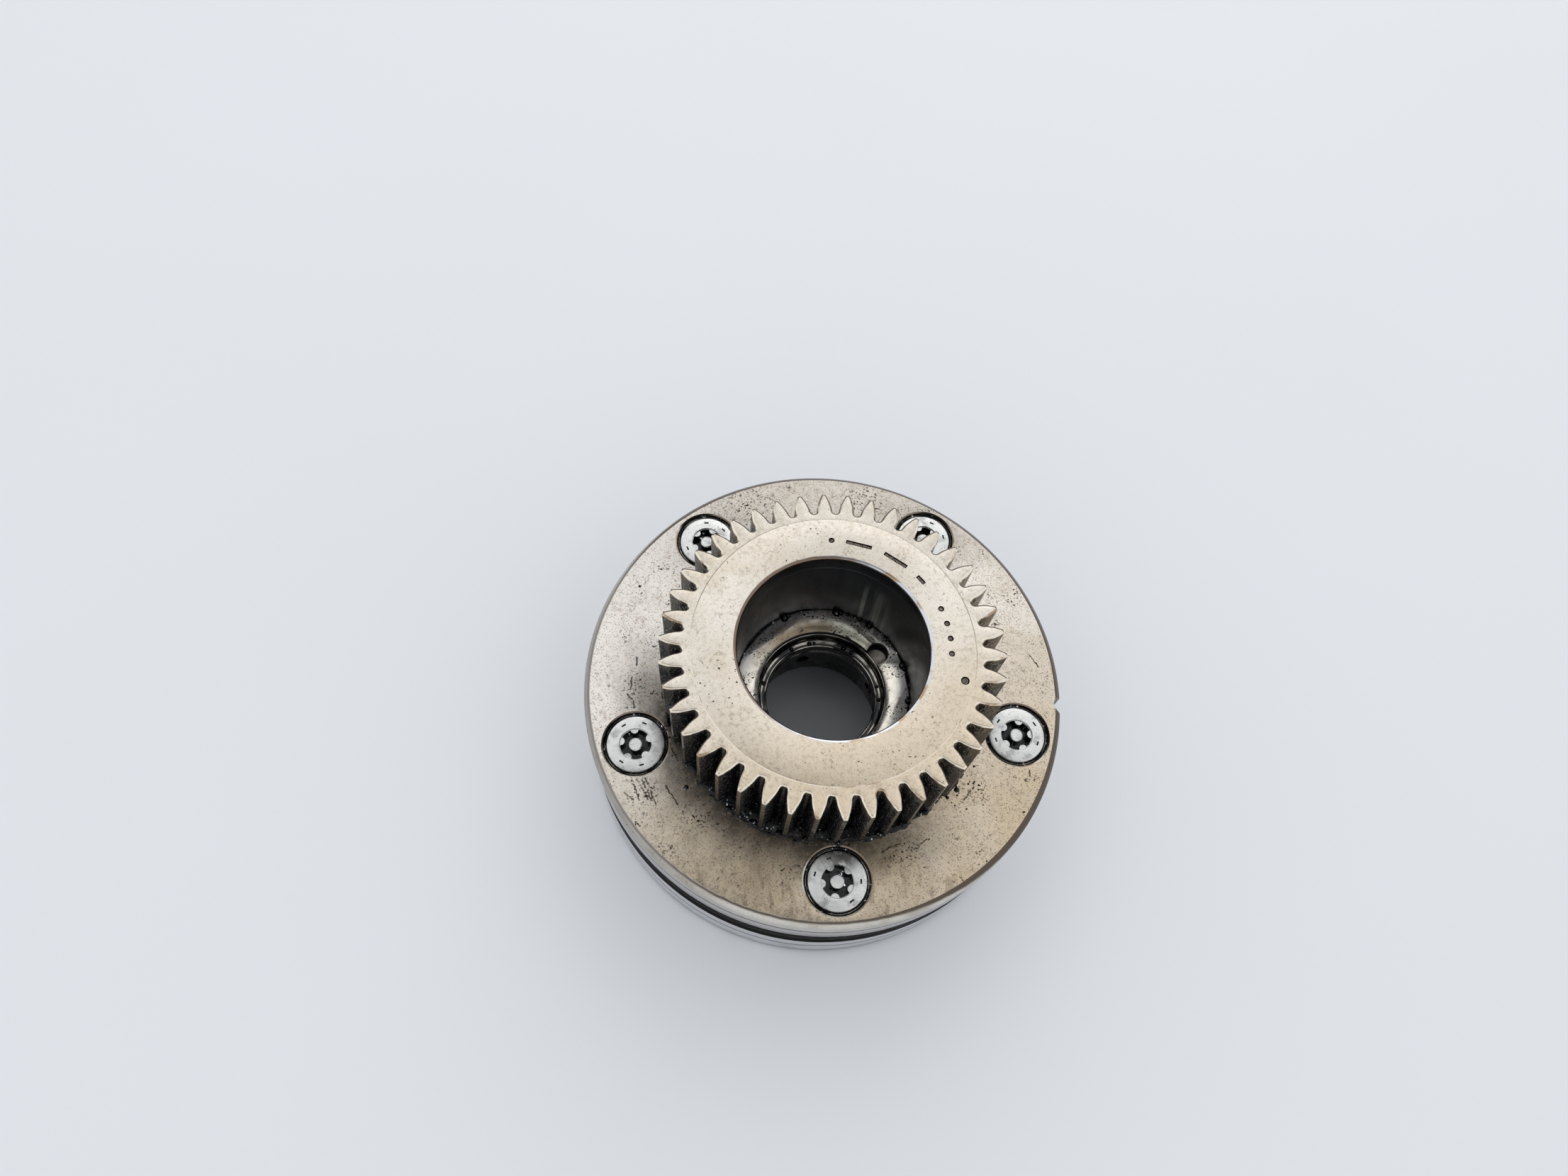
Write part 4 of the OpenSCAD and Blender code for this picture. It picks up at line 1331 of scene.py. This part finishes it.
def gear_foot_oil_mesh():
    """A film of oil round the front of the gear's foot, between the teeth too."""
    shell = Shell()
    turns = [FILM_START + (FILM_END - FILM_START) * i / FILM_STEPS for i in range(FILM_STEPS + 1)]
    rows = []
    for lift, share in FILM_PROFILE:
        z = FLANGE_Z + 0.004 + lift
        reaches = [FILM_INNER_R + (film_reach(turn) - FILM_INNER_R) * share for turn in turns]
        rows.append(shell.ring([polar(r, turn, z) for r, turn in zip(reaches, turns)]))
    for lower, upper in zip(rows, rows[1:] + rows[:1]):
        shell.strip(lower, upper)
    shell.add([row[0] for row in rows], PLAIN)
    shell.add([row[-1] for row in reversed(rows)], PLAIN)
    for r, degrees, size in FOOT_DROPS:
        add_drop(shell, polar(r, math.radians(degrees), FLANGE_Z + 0.006), size, 0.5)
    return shell.mesh("gear_foot_oil", [LOOKS["oil"]])


def groove_oil_and_shade_mesh():
    """Black fill in the stator's groove almost to the top: oil, and painted shade of the groove."""
    shell = Shell()
    middle = (GROOVE_FOOT + GROOVE_TOP) / 2
    profile = [
        (GROOVE_R + 0.02, GROOVE_FOOT + 0.02), (BODY_R - 0.35, GROOVE_FOOT + 0.05),
        (BODY_R - 0.16, middle - 0.8), (BODY_R - 0.12, middle), (BODY_R - 0.18, middle + 0.8),
        (BODY_R - 0.4, GROOVE_TOP - 0.05), (GROOVE_R + 0.02, GROOVE_TOP - 0.02)]
    shell.hoop(circles(profile, RIM_STEPS))
    return shell.mesh("groove_oil_and_shade", [LOOKS["groove"]])


def sector_mesh(inner, outer, start, end):
    """A flat piece of a ring on the flange, for drops to be scattered on."""
    shell = Shell()
    steps = 24
    turns = [math.radians(start + (end - start) * i / steps) for i in range(steps + 1)]
    rows = [shell.ring([polar(r, turn, FLANGE_Z) for turn in turns]) for r in (outer, inner)]
    shell.strip(*rows)
    return shell.mesh("sector", [])


def drops_tree():
    """Scatters flattened drops of random size over a face."""
    nodes, given = new_tree("drops", [
        ("Density", "NodeSocketFloat"), ("Smallest", "NodeSocketFloat"), ("Largest", "NodeSocketFloat"),
        ("Flatness", "NodeSocketFloat"), ("Seed", "NodeSocketInt"), ("Finish", "NodeSocketMaterial")])
    points = nodes.add("GeometryNodeDistributePointsOnFaces", {
        "Mesh": given["Geometry"], "Density": given["Density"], "Seed": given["Seed"]}).outputs[0]
    share = nodes.add("FunctionNodeRandomValue", {
        2: 0.0, 3: 1.0, "Seed": given["Seed"]}, data_type="FLOAT").outputs[1]
    share = nodes.maths("POWER", share, 3)
    spread = nodes.maths("SUBTRACT", given["Largest"], given["Smallest"])
    size = nodes.maths("ADD", given["Smallest"], nodes.both(share, spread))
    flattened = nodes.both(size, given["Flatness"])
    scale = nodes.add("ShaderNodeCombineXYZ", {0: size, 1: size, 2: flattened}).outputs[0]
    ball = nodes.add("GeometryNodeMeshIcoSphere", {"Radius": 1.0, "Subdivisions": 3}).outputs[0]
    solid = copies_on_points(nodes, points, ball, Scale=scale)
    nodes.add("NodeGroupOutput", {0: set_finishes(nodes, solid, [(True, given["Finish"])])})
    return nodes


def place_piece(obj, body, slot, *nodes):
    """Attaches a piece to the body that it rides on and hides the frame nodes that it stands for; slot is not
    used.
    """
    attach(obj, body)
    if nodes:
        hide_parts(*nodes)


def build_pieces():
    """The front cover, the screws and the large pieces behind them."""
    place_piece(gear_cover(), "housing", "gear_steel", "gear_cover")
    screws = at_screws("guarded_screws", screw_mesh(), FIRST_SPIN, SPIN_STEP, LOOKS["zinc"], LOOKS["oil"])
    place_piece(screws, "housing", "screw_zinc", "cover_screws")
    stator = softened_copy("stator", "stator_ring", LOOKS["stator"])
    place_piece(stator, "housing", "stator_steel", "stator")
    rear = softened_copy("rear_cover", "rear_disc", LOOKS["rear"])
    place_piece(rear, "housing", "cover_steel", "rear_cover")
    rotor = softened_copy("rotor", "rotor_hub", LOOKS["rotor"])
    place_piece(rotor, "rotor", "rotor_steel", "rotor")


def build_lock_coil():
    """The lock spring, a welded and smoothed copy of the frame's node that rides on the rotor."""
    coil = settle(merged_copy("lock_spring", "lock_coil", LOOKS["spring"]), 60)
    place_piece(coil, "rotor", "spring_steel", "lock_spring")
    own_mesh(coil)


def build_oil():
    """Films, beads and drops of oil; only the pilot's oil turns with the rotor."""
    rings = at_screws("screw_head_oil", oil_ring_mesh(), 0.0, 0.0, LOOKS["oil"], LOOKS["wet_steel"])
    place_piece(rings, "housing", "engine_oil")
    place_piece(settle(new_object("bore_oil", bore_oil_mesh()), 60), "housing", "engine_oil")
    place_piece(settle(new_object("gear_foot_oil", gear_foot_oil_mesh()), 60), "housing", "engine_oil")
    place_piece(settle(new_object("groove_oil_and_shade", groove_oil_and_shade_mesh()), 60), "housing", "engine_oil")
    place_piece(settle(new_object("pilot_oil", pilot_oil_mesh()), 60), "rotor", "engine_oil")
    tree = drops_tree()
    for seed, (name, inner, outer, start, end, density, largest) in enumerate(DROP_AREAS, FIRST_SEED):
        scattered = grown(name, sector_mesh(inner, outer, start, end), tree, {
            "Density": density / MM ** 2, "Smallest": SMALLEST_DROP * MM, "Largest": largest * MM,
            "Flatness": DROP_FLATNESS, "Seed": seed, "Finish": LOOKS["oil"]})
        place_piece(settle(scattered, 60), "housing", "engine_oil")


def dress_frame_nodes():
    """Gives the frame's own inner pieces their finishes."""
    finishes = {"vane_spring": "spring", "lock_spring_seat": "plastic"}
    for name, obj in frame["nodes"].items():
        look = next((finishes[start] for start in finishes if name.startswith(start)), "vane")
        obj.data.materials.clear()
        obj.data.materials.append(LOOKS[look])


def pale_floor():
    """A wide pale floor, a little below the rear cover's face so that the two don't share a level."""
    floor_r = 2500
    floor_z = -0.02
    m = Finish("pale_floor", metallic=0.0, roughness=0.6)
    m.set("Base Color", m.mix(m.noise(120, 3), (0.85, 0.865, 0.89), (0.82, 0.83, 0.85)))
    shell = Shell()
    shell.fill(shell.ring(circle(floor_r, floor_z, 64)))
    floor = new_object("floor", shell.mesh("floor", [m.material]))


def soft_light(name, place, aim, size, power):
    """A round soft light; place, aim and size are in metres."""
    light = bpy.data.lights.new(name, "AREA")
    light.shape = "DISK"
    light.size = size
    light.energy = power
    obj = bpy.data.objects.new(name, light)
    obj.location = place
    obj.rotation_euler = (Vector(aim) - Vector(place)).to_track_quat("-Z", "Y").to_euler()
    bpy.context.scene.collection.objects.link(obj)


def studio():
    """An even pale surround, brighter at the back and darker where the camera is, and a window."""
    camera_way = Vector((-0.12, -0.36, 0.925)).normalized()
    world = bpy.data.worlds.new("studio")
    world.use_nodes = True
    nodes = Nodes(world.node_tree)
    way = nodes.add("ShaderNodeTexCoord").outputs["Generated"]
    back = nodes.add("ShaderNodeSeparateXYZ", {0: way}).outputs[1]
    strength = nodes.maths("MULTIPLY_ADD", back, 0.07, 0.97)
    by_camera = nodes.steps(nodes.measure("DOT_PRODUCT", way, camera_way), 0.87, 0.97)
    strength = nodes.both(strength, nodes.maths("MULTIPLY_ADD", by_camera, -0.7, 1))
    background = world.node_tree.nodes["Background"]
    nodes.feed(background.inputs["Color"], (0.95, 0.97, 1.0))
    nodes.feed(background.inputs["Strength"], strength)
    bpy.context.scene.world = world
    soft_light("window", (0.25, 1.15, 0.65), (0, 0, 0.02), 1.3, 2.6)
    bpy.context.scene.view_settings.view_transform = "Standard"


def camera():
    """The photograph's view: from above and in front, turned a little about its own axis."""
    place = Vector((-20.77, -66.50, 206.79)) * MM
    aim = Vector((-6.51, 18.28, 28.4)) * MM
    roll = math.radians(7.827)
    data = bpy.data.cameras.new("camera")
    data.sensor_width = 36
    data.lens = 24.609
    data.clip_start = 0.005
    obj = bpy.data.objects.new("camera", data)
    look = (aim - place).to_track_quat("-Z", "Y").to_matrix().to_4x4()
    obj.matrix_world = Matrix.Translation(place) @ look @ Matrix.Rotation(roll, 4, "Z")
    bpy.context.scene.collection.objects.link(obj)
    bpy.context.scene.camera = obj


build_pieces()
build_lock_coil()
build_oil()
dress_frame_nodes()
pale_floor()
studio()
camera()

bpy.context.view_layer.update()
